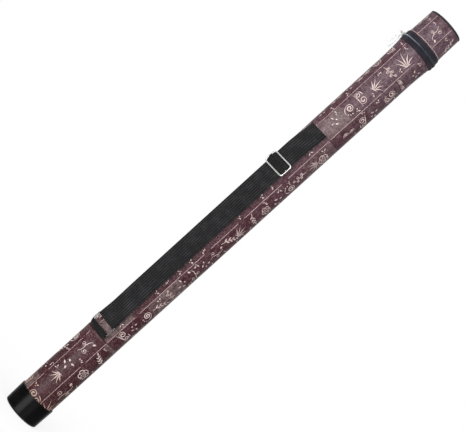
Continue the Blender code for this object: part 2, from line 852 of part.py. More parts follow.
def make_strap(skins, slide_pivot, ring_pivot):
    webbing_piece("shoulder_strap", strap_stations(), WEBBING_WIDTH, WEBBING_THICKNESS, skins["webbing"])
    webbing_piece("ring_tab", tab_stations(), WEBBING_WIDTH, WEBBING_THICKNESS, skins["webbing"])
    webbing_piece(
        "strap_return_run",
        [(RETURN_INNER, RETURN_TOP, 0.0), (RETURN_INNER, RETURN_BOTTOM, 0.0)],
        WEBBING_WIDTH,
        WEBBING_THICKNESS,
        skins["webbing"],
    )
    webbing_piece(
        "strap_over_bar",
        hump_stations(),
        WEBBING_WIDTH,
        WEBBING_THICKNESS,
        skins["webbing"],
        slide_pivot,
    )

    bar_frame = side_frame(STRAP_ANGLE, BAR_RADIUS, BUCKLE_HEIGHT)
    sleeve_width = WEBBING_WIDTH - SLEEVE_INSET
    sleeve = finish(
        "strap_end_sleeve",
        bar_mesh(SLEEVE_RADIUS, sleeve_width, bar_frame, 20),
        skins["webbing"],
        slide_pivot,
    )
    bore = finish(
        "sleeve_bore_cutter",
        bar_mesh(SLEEVE_BORE, sleeve_width + 2 * OVERRUN, bar_frame, 20),
        skins["webbing"],
        slide_pivot,
    )
    cut_or_join(sleeve, bore, "DIFFERENCE")

    loop_width = WEBBING_WIDTH + 2 * (BUCKLE_SIDE_CLEARANCE + BUCKLE_WIRE)
    buckle = wire_piece(
        "slide_buckle",
        rounded_loop(loop_width, BUCKLE_PITCH, BUCKLE_CORNER),
        BUCKLE_WIRE,
        side_frame(STRAP_ANGLE, BUCKLE_RADIUS, BUCKLE_HEIGHT),
        skins["bright"],
        slide_pivot,
    )
    middle_bar = finish(
        "buckle_middle_bar_guide",
        bar_mesh(BUCKLE_BAR, loop_width, bar_frame),
        skins["bright"],
        slide_pivot,
    )
    cut_or_join(buckle, middle_bar, "UNION")

    wire_piece(
        "strap_ring",
        rounded_loop(
            WEBBING_WIDTH + 2 * (RING_SIDE_CLEARANCE + RING_WIRE),
            RING_PITCH,
            RING_CORNER,
        ),
        RING_WIRE,
        side_frame(STRAP_ANGLE, RING_RADIUS, (RING_LOW_BAR + RING_HIGH_BAR) / 2),
        skins["bright"],
        ring_pivot,
    )


def make_skins():
    return {
        "board": make_material("tube_board", (0.33, 0.27, 0.20), 0.8),
        "lining": make_material("lining_velvet", (0.035, 0.032, 0.036), 0.95),
        "foam": make_material("foam_pad", (0.04, 0.04, 0.045), 0.95),
        "cap": make_material("cap_plastic", (0.012, 0.011, 0.012), 0.35),
        "leather_low": make_material("cover_leather_low", (0.072, 0.027, 0.031), 0.5),
        "leather_mid": make_material("cover_leather_mid", (0.105, 0.056, 0.064), 0.5),
        "leather_high": make_material("cover_leather_high", (0.130, 0.081, 0.095), 0.5),
        "tape": make_material("zip_tape", (0.030, 0.029, 0.040), 0.85),
        "coil": make_material("zip_coil", (0.080, 0.110, 0.135), 0.45),
        "zip_metal": make_material("zip_metal", (0.62, 0.62, 0.63), 0.28, 1.0),
        "bright": make_material("bright_metal", (0.80, 0.80, 0.81), 0.15, 1.0),
        "webbing": make_material("webbing", (0.026, 0.027, 0.029), 0.85),
        "piping": make_material("piping_leather", (0.014, 0.013, 0.014), 0.5),
    }


def build():
    clear_scene()
    skins = make_skins()
    up = Vector((0, 0, 1))
    hinge_angle = (HINGE_START_ANGLE + HINGE_END_ANGLE) / 2
    hinge_place = outward(hinge_angle) * HINGE_AXIS_RADIUS + up * PARTING_HEIGHT
    lid_pivot = make_pivot("lid_hinge_axis", hinge_place)
    slider_pivot = make_pivot("zip_travel_axis", up * PARTING_HEIGHT)
    pull_place = outward(SLIDER_ANGLE) * BAIL_RADIUS + up * PARTING_HEIGHT
    pull_pivot = make_pivot("puller_axis", pull_place, slider_pivot)
    slide_place = outward(STRAP_ANGLE) * BUCKLE_RADIUS + up * BUCKLE_HEIGHT
    slide_pivot = make_pivot("strap_slide_line", slide_place)
    ring_pivot = make_pivot("ring_axis", outward(STRAP_ANGLE) * RING_RADIUS + up * RING_LOW_BAR)

    make_case_shell(skins)
    make_foot_cap(skins)
    make_covers(skins)
    make_zip_half("lower", BAND_BOTTOM, BODY_TOP, skins)
    make_zip_half("upper", BAND_TOP, LID_BOTTOM, skins, lid_pivot)
    make_lid(skins, lid_pivot)
    make_slider(skins, slider_pivot, pull_pivot)
    make_strap(skins, slide_pivot, ring_pivot)
    bpy.context.view_layer.update()


build()
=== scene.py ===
"""Looks of the flute case: printed leather covers, webbing strap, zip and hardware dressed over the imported
solids, with their finishes, a plain studio and the photograph's camera.

Lengths are in metres, written as millimetres times MM. Angles run round the tube from +X towards +Y.
"""

import json
import math
import random

import bmesh
import bpy
import numpy as np
from mathutils import Matrix, Vector

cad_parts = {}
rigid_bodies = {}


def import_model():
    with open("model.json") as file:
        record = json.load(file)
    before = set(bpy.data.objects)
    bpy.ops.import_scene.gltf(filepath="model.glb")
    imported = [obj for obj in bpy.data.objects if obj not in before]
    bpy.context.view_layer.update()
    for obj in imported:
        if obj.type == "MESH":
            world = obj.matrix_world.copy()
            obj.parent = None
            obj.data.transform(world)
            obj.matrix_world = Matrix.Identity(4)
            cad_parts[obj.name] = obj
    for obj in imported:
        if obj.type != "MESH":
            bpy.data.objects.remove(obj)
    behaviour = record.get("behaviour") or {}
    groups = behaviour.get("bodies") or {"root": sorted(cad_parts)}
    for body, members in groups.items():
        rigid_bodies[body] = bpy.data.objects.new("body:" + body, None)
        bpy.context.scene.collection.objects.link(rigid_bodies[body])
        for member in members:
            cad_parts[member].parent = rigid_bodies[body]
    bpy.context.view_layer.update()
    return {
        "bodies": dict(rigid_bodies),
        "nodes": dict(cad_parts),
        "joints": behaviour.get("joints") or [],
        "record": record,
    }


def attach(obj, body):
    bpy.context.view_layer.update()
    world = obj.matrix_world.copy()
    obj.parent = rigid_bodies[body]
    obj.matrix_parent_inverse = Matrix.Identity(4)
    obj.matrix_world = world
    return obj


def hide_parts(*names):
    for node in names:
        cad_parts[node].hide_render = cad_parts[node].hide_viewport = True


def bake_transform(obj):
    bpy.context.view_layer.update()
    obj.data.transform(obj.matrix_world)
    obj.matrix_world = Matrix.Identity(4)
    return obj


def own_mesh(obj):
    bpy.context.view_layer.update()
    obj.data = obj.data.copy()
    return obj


MM = 0.001

# Directions round the tube, in degrees
STRAP_ANGLE = 242.5
SLIDER_ANGLE = 180.0
HINGE_START = 82.5
HINGE_END = 165.0
SEAM_ANGLE = 62.0
LINE_ANGLE = 230.0

# The tube and its covers
COVER = 30.0 * MM
COVER_INNER = 28.9 * MM
HEM = 31.1 * MM
CASE_TOP = 860.0 * MM
PARTING = 804.6 * MM
HALF_GAP = 0.3 * MM
BAND_HALF = 9.55 * MM
LOWER_SEAM = 168.55 * MM
UPPER_SEAM = 612.85 * MM
SEAM_HALF = 0.15 * MM
COVER_BOTTOM = 8.6 * MM
LID_COVER_TOP = 856.8 * MM
HEM_FLAT = 4.0 * MM
HEM_FADE = 18.0 * MM
FLARE_LENGTH = 42.0 * MM
FLARE_RISE = 1.8 * MM
ROUND_STEPS = 180
LOWER_HEM_ROW = LOWER_SEAM - 3.0 * MM
UPPER_HEM_ROW = UPPER_SEAM + 3.0 * MM
LID_HEM_ROW = LID_COVER_TOP - 3.2 * MM

# The webbing
WEBBING_WIDTH = 34.5 * MM
WEBBING = 1.3 * MM
RIBS = 9
RETURN_INNER = 30.4 * MM
RUN_INNER = 32.0 * MM
RUN_BEND = 30 * MM
RING_PLANE = 33.2 * MM
RING_WIRE = 0.9 * MM
RING_FOLD = 1.6 * MM
RING_LOW_BAR = 176.2 * MM
RING_HIGH_BAR = 192.6 * MM
RETURN_BOTTOM = 205.1 * MM
RETURN_TOP = 532.1 * MM
BUCKLE_HEIGHT = 534.1 * MM
BUCKLE_PLANE = 34.85 * MM
BUCKLE_WIRE = 1.3 * MM
BAR_PLANE = 35.6 * MM
BAR_PLAY = 1.85 * MM
LEAN = 1.5
LEAN_LOW = 200.0 * MM
LEAN_HIGH = 262.0 * MM

# The zip
SLIDER_PLANE = 34.2 * MM
BAIL_PLANE = 38.4 * MM
TAPE_INNER = 31.42 * MM
ZIP_TRIM = math.degrees(HALF_GAP / (31.4 * MM))
BAND_ROW = 8.2 * MM
SIDES = ((-1, "lower", "case_body"), (1, "upper", "lid"))


# ---- helpers: nodes, meshes, finishes


def colour(red, green, blue):
    """A colour written as it shows on screen, as the shader's linear value."""
    shares = [c / 255 for c in (red, green, blue)]
    linear = [s / 12.92 if s <= 0.04045 else ((s + 0.055) / 1.055) ** 2.4 for s in shares]
    return (*linear, 1.0)


def ease(share):
    share = min(1.0, max(0.0, share))
    return share * share * (3 - 2 * share)


def polar(radius, angle_deg, x=0.0, y=0.0):
    """The point at a distance and an angle from (x, y)."""
    angle = math.radians(angle_deg)
    return x + radius * math.cos(angle), y + radius * math.sin(angle)


def away(angle_deg, other_deg):
    """How far one direction is from another, from -180 to 180 degrees."""
    return (angle_deg - other_deg + 180.0) % 360.0 - 180.0


def in_mm(pairs):
    return [(x * MM, y * MM) for x, y in pairs]


class Value:
    """A socket's value. Arithmetic on it adds the nodes that do it."""

    def __init__(self, sketch, socket):
        self.sketch = sketch
        self.socket = socket

    def maths(self, operation, *others):
        return self.sketch.get("ShaderNodeMath", self, *others, operation=operation)

    def __add__(self, other):
        return self.maths("ADD", other)

    def __sub__(self, other):
        return self.maths("SUBTRACT", other)

    def __rsub__(self, other):
        return self.sketch.get("ShaderNodeMath", other, self, operation="SUBTRACT")

    def __mul__(self, other):
        return self.maths("MULTIPLY", other)

    def __truediv__(self, other):
        return self.maths("DIVIDE", other)

    def __pow__(self, other):
        return self.maths("POWER", other)

    def __abs__(self):
        return self.maths("ABSOLUTE")

    def spread(self, low, high, first=0.0, last=1.0):
        """The value's stretch from low to high, laid over first to last and held at both ends."""
        return self.sketch.get("ShaderNodeMapRange", self, low, high, first, last)

    def moved(self, vector):
        return self.sketch.get("ShaderNodeVectorMath", self, vector, operation="ADD")

    def stretched(self, x, y, z):
        return self.sketch.get("ShaderNodeVectorMath", self, (x, y, z), operation="MULTIPLY")

    def times(self, number):
        """The vector times a number."""
        return self.sketch.get("ShaderNodeVectorMath", self, operation="SCALE", inputs={"Scale": number})

    def split(self):
        return [Value(self.sketch, part) for part in self.sketch.add("ShaderNodeSeparateXYZ", self).outputs]


class Sketch:
    """Adds nodes to a tree. An input that is a Value is linked, and any other is set on the node."""

    def __init__(self, tree):
        self.tree = tree

    def add(self, kind, *values, inputs=None, **settings):
        node = self.tree.nodes.new(kind)
        for key, value in settings.items():
            setattr(node, key, value)
        for key, value in [*enumerate(values), *(inputs or {}).items()]:
            if isinstance(value, Value):
                self.tree.links.new(value.socket, node.inputs[key])
            elif value is not None:
                node.inputs[key].default_value = value
        return node

    def get(self, kind, *values, out=0, **rest):
        """One output of a new node."""
        return Value(self, self.add(kind, *values, **rest).outputs[out])

    def place(self):
        return self.get("ShaderNodeTexCoord", out="Object")

    def combine(self, x, y, z):
        return self.get("ShaderNodeCombineXYZ", x, y, z)

    def mix(self, factor, first, second, blend="MIX"):
        inputs = {0: factor, 6: first, 7: second}
        return self.get("ShaderNodeMix", inputs=inputs, out=2, data_type="RGBA", blend_type=blend)

    def noise(self, place, size, detail=3.0, roughness=0.55):
        """Noise whose spots are about size across."""
        inputs = {"Vector": place, "Scale": 1 / size, "Detail": detail, "Roughness": roughness}
        return self.get("ShaderNodeTexNoise", inputs=inputs)

    def cells(self, place, size, feature="F1"):
        inputs = {"Vector": place, "Scale": 1 / size}
        return self.get("ShaderNodeTexVoronoi", inputs=inputs, out="Distance", feature=feature)

    def bump(self, height, depth, strength=1.0, under=None):
        inputs = {"Height": height, "Distance": depth, "Strength": strength, "Normal": under}
        return self.get("ShaderNodeBump", inputs=inputs)


class Finish(Sketch):
    """A material with one Principled shader. Constants are set straight on the shader's sockets."""

    def __init__(self, name, **constants):
        self.material = bpy.data.materials.new(name)
        self.material.use_nodes = True
        super().__init__(self.material.node_tree)
        self.tree.nodes.clear()
        self.shader = self.add("ShaderNodeBsdfPrincipled")
        for key, value in constants.items():
            self.shader.inputs[key.replace("_", " ")].default_value = value
        self.add("ShaderNodeOutputMaterial", Value(self, self.shader.outputs[0]))

    def done(self, tone, roughness, normal):
        """Links what varies over the surface to the shader."""
        for key, value in (("Base Color", tone), ("Roughness", roughness), ("Normal", normal)):
            self.tree.links.new(value.socket, self.shader.inputs[key])
        return self.material


def in_scene(name, data):
    """A new object in the scene."""
    thing = bpy.data.objects.new(name, data)
    bpy.context.scene.collection.objects.link(thing)
    return thing


def new_piece(name, points, faces, material=None, uvs=None):
    mesh = bpy.data.meshes.new(name)
    mesh.from_pydata([tuple(p) for p in points], [], faces)
    if uvs is not None:
        layer = mesh.uv_layers.new(name="UVMap")
        layer.data.foreach_set("uv", np.array([c for face in uvs for c in face], np.float32).ravel())
    mesh.update()
    return in_scene(name, smoothed(mesh, 40.0, material))


def smoothed(mesh, sharp_deg, material=None):
    """Shades a mesh smooth between its sharp edges, and gives it its finish."""
    mesh.shade_smooth()
    mesh.set_sharp_from_angle(angle=math.radians(sharp_deg))
    if material:
        mesh.materials.clear()
        mesh.materials.append(material)
    return mesh


def dress(piece, body, slot, *nodes):
    """Puts a finished piece on its body, in place of the solids it stands for."""
    if nodes:
        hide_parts(*nodes)
    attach(piece, body)
    return piece


def reworked(piece, work):
    """Opens the piece's mesh for some work on it."""
    bm = bmesh.new()
    bm.from_mesh(piece.data)
    work(bm)
    bm.to_mesh(piece.data)
    bm.free()
    return piece


def face_out(piece):
    """Turns every face outwards."""
    return reworked(piece, lambda bm: bmesh.ops.recalc_face_normals(bm, faces=bm.faces))


def drop_unused(bm):
    """Removes points that no face uses, such as an axis point's copies."""
    bmesh.ops.delete(bm, geom=[v for v in bm.verts if not v.link_faces], context="VERTS")


def revolved(name, outline_at, material, start=0.0, end=360.0, steps=ROUND_STEPS, closed=True):
    """A shape turned round the tube's axis. outline_at(degrees) lists (radius, height) from the inner bottom
    outwards, up and back in. An outline that isn't closed begins and ends on the axis."""
    whole = end - start >= 360.0
    turns = steps if whole else steps + 1
    angles = [start + (end - start) * i / steps for i in range(steps + 1)]
    outlines = [outline_at(a) for a in angles[:turns]]
    count = len(outlines[0])
    points = []
    for angle, outline in zip(angles, outlines):
        c, s = polar(1.0, angle)
        points += [(r * c, r * s, z) for r, z in outline]
    lengths = [0.0]
    loop = outlines[0] + outlines[0][:1]
    for (r0, z0), (r1, z1) in zip(loop, loop[1:]):
        lengths.append(lengths[-1] + math.hypot(r1 - r0, z1 - z0))
    poles = len(points)
    if not closed:
        points += [(0.0, 0.0, outlines[0][0][1]), (0.0, 0.0, outlines[0][-1][1])]
    faces = []
    uvs = []
    for i in range(steps):
        j = (i + 1) % turns
        u0, u1 = (math.radians(a) * COVER for a in angles[i : i + 2])
        for k in range(count if closed else count - 1):
            m = (k + 1) % count
            low, high = lengths[k], lengths[k + 1]
            corners = [(i * count + k, u0, low), (j * count + k, u1, low)]
            corners += [(j * count + m, u1, high), (i * count + m, u0, high)]
            if not closed and k == 0:
                corners = [(poles, u0, low), *corners[2:]]
            elif not closed and k == count - 2:
                corners = [*corners[:2], (poles + 1, u1, high)]
            faces.append([point for point, _, _ in corners])
            uvs.append([(u, v) for _, u, v in corners])
    if closed and not whole:
        for i, turn in ((0, 1), (turns - 1, -1)):
            faces.append([i * count + k for k in range(count)][::turn])
            uvs.append(outlines[i][::turn])
    piece = new_piece(name, points, faces, material, uvs)
    return piece if closed else reworked(piece, drop_unused)


def place_frame(angle_deg, radius, height):
    """A frame on the tube's side: X round the tube, Y up it, Z outwards."""
    out = Vector((*polar(1.0, angle_deg), 0))
    up = Vector((0, 0, 1))
    frame = Matrix((up.cross(out), up, out)).transposed().to_4x4()
    frame.translation = out * radius + up * height
    return frame


def lean(height):
    """The strap's end at the ring sits a little further round the tube than the rest of it."""
    share = ease((height - LEAN_LOW) / (LEAN_HIGH - LEAN_LOW))
    return Matrix.Rotation(math.radians(LEAN * (1 - share)), 4, "Z")


# ---- node groups: what repeats or follows a path or a surface


class Group(Sketch):
    """A geometry node tree with a geometry, the named inputs and a finish, all in entry."""

    def __init__(self, name, **inputs):
        super().__init__(bpy.data.node_groups.new(name, "GeometryNodeTree"))
        face = self.tree.interface
        for label, kind in {"Geometry": "Geometry", **inputs, "Material": "Material"}.items():
            face.new_socket(label.replace("_", " "), in_out="INPUT", socket_type="NodeSocket" + kind)
        face.new_socket("Geometry", in_out="OUTPUT", socket_type="NodeSocketGeometry")
        self.entry = {socket.name: Value(self, socket) for socket in self.add("NodeGroupInput").outputs}

    def named(self, name, kind="FLOAT"):
        return self.get("GeometryNodeInputNamedAttribute", name, data_type=kind)

    def from_object(self, label):
        return self.get("GeometryNodeObjectInfo", self.entry[label], out="Geometry")

    def close(self, geometry):
        """Ends the tree: instances made real, and the finish given."""
        real = self.get("GeometryNodeRealizeInstances", geometry)
        smooth = self.get("GeometryNodeSetShadeSmooth", real)
        inputs = {"Material": self.entry["Material"]}
        self.add("NodeGroupOutput", self.get("GeometryNodeSetMaterial", smooth, inputs=inputs))
        return self.tree


def row_group():
    """Copies of one shape along a path, such as stitches or coil turns. Its points say which way is out."""
    group = Group("shape_row", Shape="Object", Spacing="Float")
    shape = group.from_object("Shape")
    path = group.get("GeometryNodeMeshToCurve", group.entry["Geometry"])
    spacing = {"Length": group.entry["Spacing"]}
    even = group.get("GeometryNodeResampleCurve", path, inputs=spacing, mode="LENGTH")
    tangent = group.get("GeometryNodeInputTangent")
    align = "FunctionNodeAlignRotationToVector"
    along = group.get(align, inputs={"Vector": tangent}, axis="X")
    lift = group.named("lift", "FLOAT_VECTOR")
    upright = group.get(align, inputs={"Rotation": along, "Vector": lift}, axis="Z", pivot_axis="X")
    return group.close(
        group.get("GeometryNodeInstanceOnPoints", even, inputs={"Instance": shape, "Rotation": upright})
    )


def wire_group():
    """Round wire along a path, as thick as the path's points say."""
    group = Group("round_wire", Sides="Int")
    path = group.get("GeometryNodeMeshToCurve", group.entry["Geometry"])
    inputs = {"Resolution": group.entry["Sides"], "Radius": 1.0}
    profile = group.get("GeometryNodeCurvePrimitiveCircle", inputs=inputs, mode="RADIUS")
    inputs = {"Scale": group.named("thick"), "Fill Caps": True}
    return group.close(group.get("GeometryNodeCurveToMesh", path, profile, inputs=inputs))


def rib_group():
    """Presses the grooves between lengthwise ribs into webbing."""
    group = Group("webbing_ribs", Ribs="Float", Groove_Depth="Float")
    turn = group.named("across") * group.entry["Ribs"]
    wave = abs((turn * math.pi).maths("COSINE"))
    depth = wave**5.0 * group.named("face") * group.entry["Groove Depth"] * -1.0
    offset = group.get("GeometryNodeInputNormal").times(depth)
    return group.close(
        group.get("GeometryNodeSetPosition", group.entry["Geometry"], inputs={"Offset": offset})
    )


def print_group():
    """Lays a flat design round the tube, on the cover's own surface: x goes round, y up and z outwards."""
    group = Group(
        "design_round_tube", Motifs="Collection", Lines="Object", Cover="Object", Radius="Float", Reach="Float"
    )
    entry = group.entry
    inputs = {"Separate Children": True, "Reset Children": True}
    motifs = group.get("GeometryNodeCollectionInfo", entry["Motifs"], inputs=inputs)
    size = group.named("size")
    inputs = {
        "Instance": motifs,
        "Pick Instance": True,
        "Instance Index": group.named("motif", "INT"),
        "Rotation": group.get("FunctionNodeEulerToRotation", group.combine(0.0, 0.0, group.named("turn"))),
        "Scale": group.combine(size, size, 1.0),
    }
    placed = group.get("GeometryNodeInstanceOnPoints", entry["Geometry"], inputs=inputs)
    real = group.get("GeometryNodeRealizeInstances", placed)
    joined = group.add("GeometryNodeJoinGeometry", real)
    group.tree.links.new(group.from_object("Lines").socket, joined.inputs[0])
    flat = group.get("GeometryNodeInputPosition").split()
    angle = flat[0] / entry["Radius"]
    out = group.combine(angle.maths("COSINE"), angle.maths("SINE"), 0.0)
    inputs = {
        "Source Position": out.times(entry["Reach"]).moved(group.combine(0.0, 0.0, flat[1])),
        "Ray Direction": out.times(-1.0),
        "Ray Length": entry["Reach"],
    }
    ray = group.add("GeometryNodeRaycast", group.from_object("Cover"), inputs=inputs)
    hit, met = (Value(group, ray.outputs[label]) for label in ("Hit Position", "Is Hit"))
    missed = group.get("FunctionNodeBooleanMath", met, operation="NOT")
    kept = group.get("GeometryNodeDeleteGeometry", Value(group, joined.outputs[0]), missed)
    laid = group.get("GeometryNodeSetPosition", kept, inputs={"Position": hit.moved(out.times(flat[2]))})
    return group.close(laid)


def apply_group(piece, tree, **values):
    """Runs a node tree on the piece and keeps the result as its mesh."""
    modifier = piece.modifiers.new(tree.name, "NODES")
    modifier.node_group = tree
    for item in tree.interface.items_tree:
        key = item.name.replace(" ", "_")
        if item.in_out == "INPUT" and key in values:
            modifier[item.identifier] = values[key]
    bpy.context.view_layer.update()
    graph = bpy.context.evaluated_depsgraph_get()
    mesh = bpy.data.meshes.new_from_object(piece.evaluated_get(graph))
    piece.modifiers.clear()
    piece.data = mesh
    mesh.name = piece.name
    return piece


def add_column(mesh, key, values, kind="FLOAT"):
    """A value of its own for each of the mesh's points."""
    layer = mesh.attributes.new(key, kind, "POINT").data
    layer.foreach_set("vector" if kind == "FLOAT_VECTOR" else "value", values)


def new_path(name, chains):
    """A mesh of edge chains. A chain is (points, closed, attributes), with a value of each for each point."""
    points = []
    edges = []
    attributes = {}
    for chain, closed, values in chains:
        first = len(points)
        last = first + len(chain) - 1
        points += [tuple(p) for p in chain]
        edges += [(i, i + 1) for i in range(first, last)] + [(last, first)] * closed
        for key, column in values.items():
            attributes.setdefault(key, []).extend(column)
    mesh = bpy.data.meshes.new(name)
    mesh.from_pydata(points, edges, [])
    for key, column in attributes.items():
        column = np.array([tuple(v) if key == "lift" else v for v in column], np.float32)
        add_column(mesh, key, column.ravel(), "FLOAT_VECTOR" if key == "lift" else "FLOAT")
    return in_scene(name, mesh)


# ---- finishes


# Each cover section is cut from its own part of the panelled cloth, so many columns on
PANEL_SHIFTS = {"cover_leather_low": 8, "cover_leather_mid": 12, "cover_leather_high": 9}
# Leather tone by height on the case
LEATHER_STOPS = (
    (0.05, (61, 11, 18)),
    (0.17, (66, 17, 24)),
    (0.34, (78, 42, 50)),
    (0.55, (91, 58, 68)),
    (0.75, (98, 74, 84)),
    (0.86, (98, 75, 87)),
)
HATCH_TURNS = 84


def panel_tone(sketch, place, shift):
    """A value per panel of the leather: panels run between the rule lines, with edges at odd heights."""
    rotation = (0.0, 0.0, -math.radians(LINE_ANGLE + 180.0))
    x, y, z = sketch.get("ShaderNodeMapping", place, inputs={"Rotation": rotation}).split()
    arc = (y.maths("ARCTAN2", x) + math.pi) * COVER
    column = COVER * 2 * math.pi / 6
    inputs = {
        "Vector": sketch.combine(z, arc + shift * column, 0.0),
        "Color1": (0, 0, 0, 1),
        "Color2": (1, 1, 1, 1),
        "Scale": 1.0,
        "Mortar Size": 0.0,
        "Mortar Smooth": 0.0,
        "Bias": 0.0,
        "Brick Width": 62 * MM,
        "Row Height": column,
    }
    brick = sketch.get("ShaderNodeTexBrick", inputs=inputs, out="Color", offset=0.39, offset_frequency=3)
    return sketch.get("ShaderNodeSeparateColor", brick)


def cover_leather(name):
    """Coated leather-cloth: fine grain, crackle, and panels in burgundy and taupe, paler towards the lid."""
    sketch = Finish(name, Specular_IOR_Level=0.42, IOR=1.45)
    place = sketch.place()
    x, y, height = place.split()
    ramp = sketch.add("ShaderNodeValToRGB", height)
    stops = ramp.color_ramp.elements
    while len(stops) < len(LEATHER_STOPS):
        stops.new(0.5)
    for stop, (at, tone) in zip(stops, LEATHER_STOPS):
        stop.position = at
        stop.color = colour(*tone)
    leather = Value(sketch, ramp.outputs[0])
    nudge = sketch.noise(place, 9 * MM, 3.0).spread(0.0, 1.0, -0.8 * MM, 0.8 * MM)
    panel = panel_tone(sketch, place.moved(sketch.combine(0.0, 0.0, nudge)), PANEL_SHIFTS[name])
    end = height.spread(LID_COVER_TOP + 0.3 * MM, LID_COVER_TOP + 0.4 * MM)
    tone = panel + (0.5 - panel) * end
    cloud = sketch.noise(place, 24 * MM, 5.0, 0.62)
    patch = sketch.noise(place, 6 * MM, 4.0, 0.6)
    fleck = sketch.noise(place, 2.1 * MM, 4.0, 0.72)
    taupe = tone.spread(0.66, 0.72) * cloud.spread(0.3, 0.6, 0.45, 0.95)
    dark = tone.spread(0.34, 0.28) * cloud.spread(0.3, 0.7, 0.35, 0.8)
    base = sketch.mix(taupe, leather, sketch.mix(0.62, leather, colour(144, 127, 124)))
    base = sketch.mix(dark, base, sketch.mix(0.7, leather, colour(70, 18, 32)))
    mottled = sketch.mix(patch.spread(0.60, 0.38, 0.0, 0.52), base, colour(48, 17, 25))
    bright = sketch.mix(0.5, base, colour(190, 162, 168))
    pale = sketch.mix(fleck.spread(0.53, 0.66, 0.0, 0.66), mottled, bright)
    deep = sketch.mix(fleck.spread(0.46, 0.33, 0.0, 0.62), pale, colour(36, 16, 21))
    cracks = sketch.cells(place, 1.9 * MM, "DISTANCE_TO_EDGE").spread(0.09, 0.0)
    toned = sketch.mix(cracks * patch.spread(0.42, 0.62, 0.0, 0.5), deep, bright)
    # A fine cross hatch, round and along the tube, and straight across its flat end
    turns = HATCH_TURNS / COVER
    wall = (y.maths("ARCTAN2", x) * HATCH_TURNS, height * turns)
    across, along = (
        (on_wall + (on_end * turns - on_wall) * end).maths("SINE") for on_wall, on_end in zip(wall, (x, y))
    )
    hatch = across * along * fleck.spread(0.3, 0.6, 0.4, 1.0)
    toned = sketch.mix(1.0, toned, sketch.combine(*[hatch.spread(-1.0, 1.0, 0.60, 1.40)] * 3), "MULTIPLY")
    soft = sketch.bump(sketch.noise(place, 34 * MM, 2.0), 0.9 * MM, 0.30)
    pores = sketch.bump(sketch.cells(place, 0.95 * MM, "SMOOTH_F1"), 0.14 * MM, 0.45, soft)
    creases = sketch.noise(place, 0.45 * MM, 3.0, 0.6)
    rough = cloud.spread(0.2, 0.8, 0.30, 0.40) + fleck.spread(0.3, 0.8, 0.0, 0.10)
    return sketch.done(toned, rough, sketch.bump(creases, 0.05 * MM, 0.4, pores))


def printed_ink():
    """Opaque cream print, thinned by wear in places, with painted shade along its edges, where its raised strokes
    slope down to the leather.
    """
    sketch = Finish("printed_ink", IOR=1.45)
    place = sketch.place()
    edge = sketch.get("ShaderNodeAttribute", out="Fac", attribute_name="edge")
    fleck = sketch.noise(place, 0.9 * MM, 4.0, 0.7)
    cloud = sketch.noise(place, 13 * MM, 4.0)
    cream = sketch.mix(cloud.spread(0.35, 0.65), colour(238, 216, 212), colour(208, 180, 178))
    cream = sketch.mix(place.split()[2].spread(0.10, 0.02), cream, colour(204, 164, 142))
    wear_and_shade = sketch.mix(fleck.spread(0.56, 0.74, 0.0, 0.6), cream, colour(140, 108, 106))
    # Painted shade: the strokes' sloping sides darken towards the leather
    rim_shaded = sketch.mix(edge.spread(0.35, 0.75), wear_and_shade, colour(46, 22, 27))
    return sketch.done(rim_shaded, fleck.spread(0.3, 0.7, 0.45, 0.62), sketch.bump(fleck, 0.05 * MM, 0.6))


def woven_cloth(name, deep, mid, pale, yarn, rough=0.82, skew=0.0, relief=0.22 * MM, rib=0.0):
    """Plain weave on the piece's UV map, which is in metres: painted shade deep in the gaps between the yarns,
    with paler fuzz and dust.
    Webbing has ribs of a given pitch, with painted shade near black in the grooves between them."""
    sketch = Finish(name, Sheen_Weight=0.10, Sheen_Roughness=0.45, Specular_IOR_Level=0.18)
    place = sketch.get("ShaderNodeUVMap", uv_map="UVMap")
    across, along, _ = place.split()
    u, v = (
        (part * (math.pi / yarn)).maths("SINE") for part in (across + along * skew if skew else across, along)
    )
    yarns = (u * v).spread(-1.0, 1.0, 0.0, 0.5) + (abs(u) * abs(v)).spread(0.0, 1.0, 0.0, 0.5)
    solid = sketch.place()
    fuzz = sketch.noise(solid, 0.5 * MM, 4.0, 0.7)
    dust = sketch.noise(solid, 15 * MM, 4.0)
    # Painted shade: deep in the gaps between the yarns, mid on their crowns
    body = sketch.mix(yarns.spread(0.15, 0.75), colour(*deep), colour(*mid))
    lit = sketch.mix(fuzz.spread(0.52, 0.80, 0.0, 0.8), body, colour(*pale))
    dust_and_groove_shade = sketch.mix(dust.spread(0.45, 0.75, 0.0, 0.25), lit, colour(*pale))
    if rib:
        # Painted shade: the grooves between the ribs are darkened nearly to black
        groove_shade = abs((across * (math.pi / rib)).maths("COSINE")) ** 1.6
        slubs = sketch.noise(place.stretched(1.0, 0.35, 1.0), 1.6 * MM, 3.0, 0.7)
        dust_and_groove_shade = sketch.mix(groove_shade * slubs.spread(0.35, 0.6, 0.7, 1.0), dust_and_groove_shade, colour(5, 5, 6))
    normal = sketch.bump(fuzz, 0.05 * MM, 0.5, sketch.bump(yarns, relief, 0.8))
    return sketch.done(dust_and_groove_shade, fuzz.spread(0.2, 0.8, rough - 0.08, rough + 0.08), normal)


def moulded_plastic():
    """Black moulded plastic, half gloss: a fine satin texture, hairline scuffs and dulled corners."""
    sketch = Finish("moulded_cap_plastic", IOR=1.49, Specular_IOR_Level=0.2)
    place = sketch.place()
    satin = sketch.noise(place, 0.6 * MM, 3.0, 0.6)
    smear = sketch.noise(place, 22 * MM, 4.0)
    scuff = sketch.noise(place.stretched(1.0, 1.0, 0.07), 0.9 * MM, 5.0, 0.65).spread(0.66, 0.78)
    foot = place.split()[2].spread(4 * MM, 0.5 * MM) * smear.spread(0.4, 0.6)
    wear_and_shade = (scuff * 0.5).maths("MAXIMUM", foot)
    base = sketch.mix(smear.spread(0.3, 0.7), colour(3, 2, 3), colour(5, 5, 5))
    rough = smear.spread(0.3, 0.7, 0.22, 0.30) + wear_and_shade * 0.2
    return sketch.done(sketch.mix(wear_and_shade, base, colour(40, 38, 39)), rough, sketch.bump(satin, 0.04 * MM, 0.35))


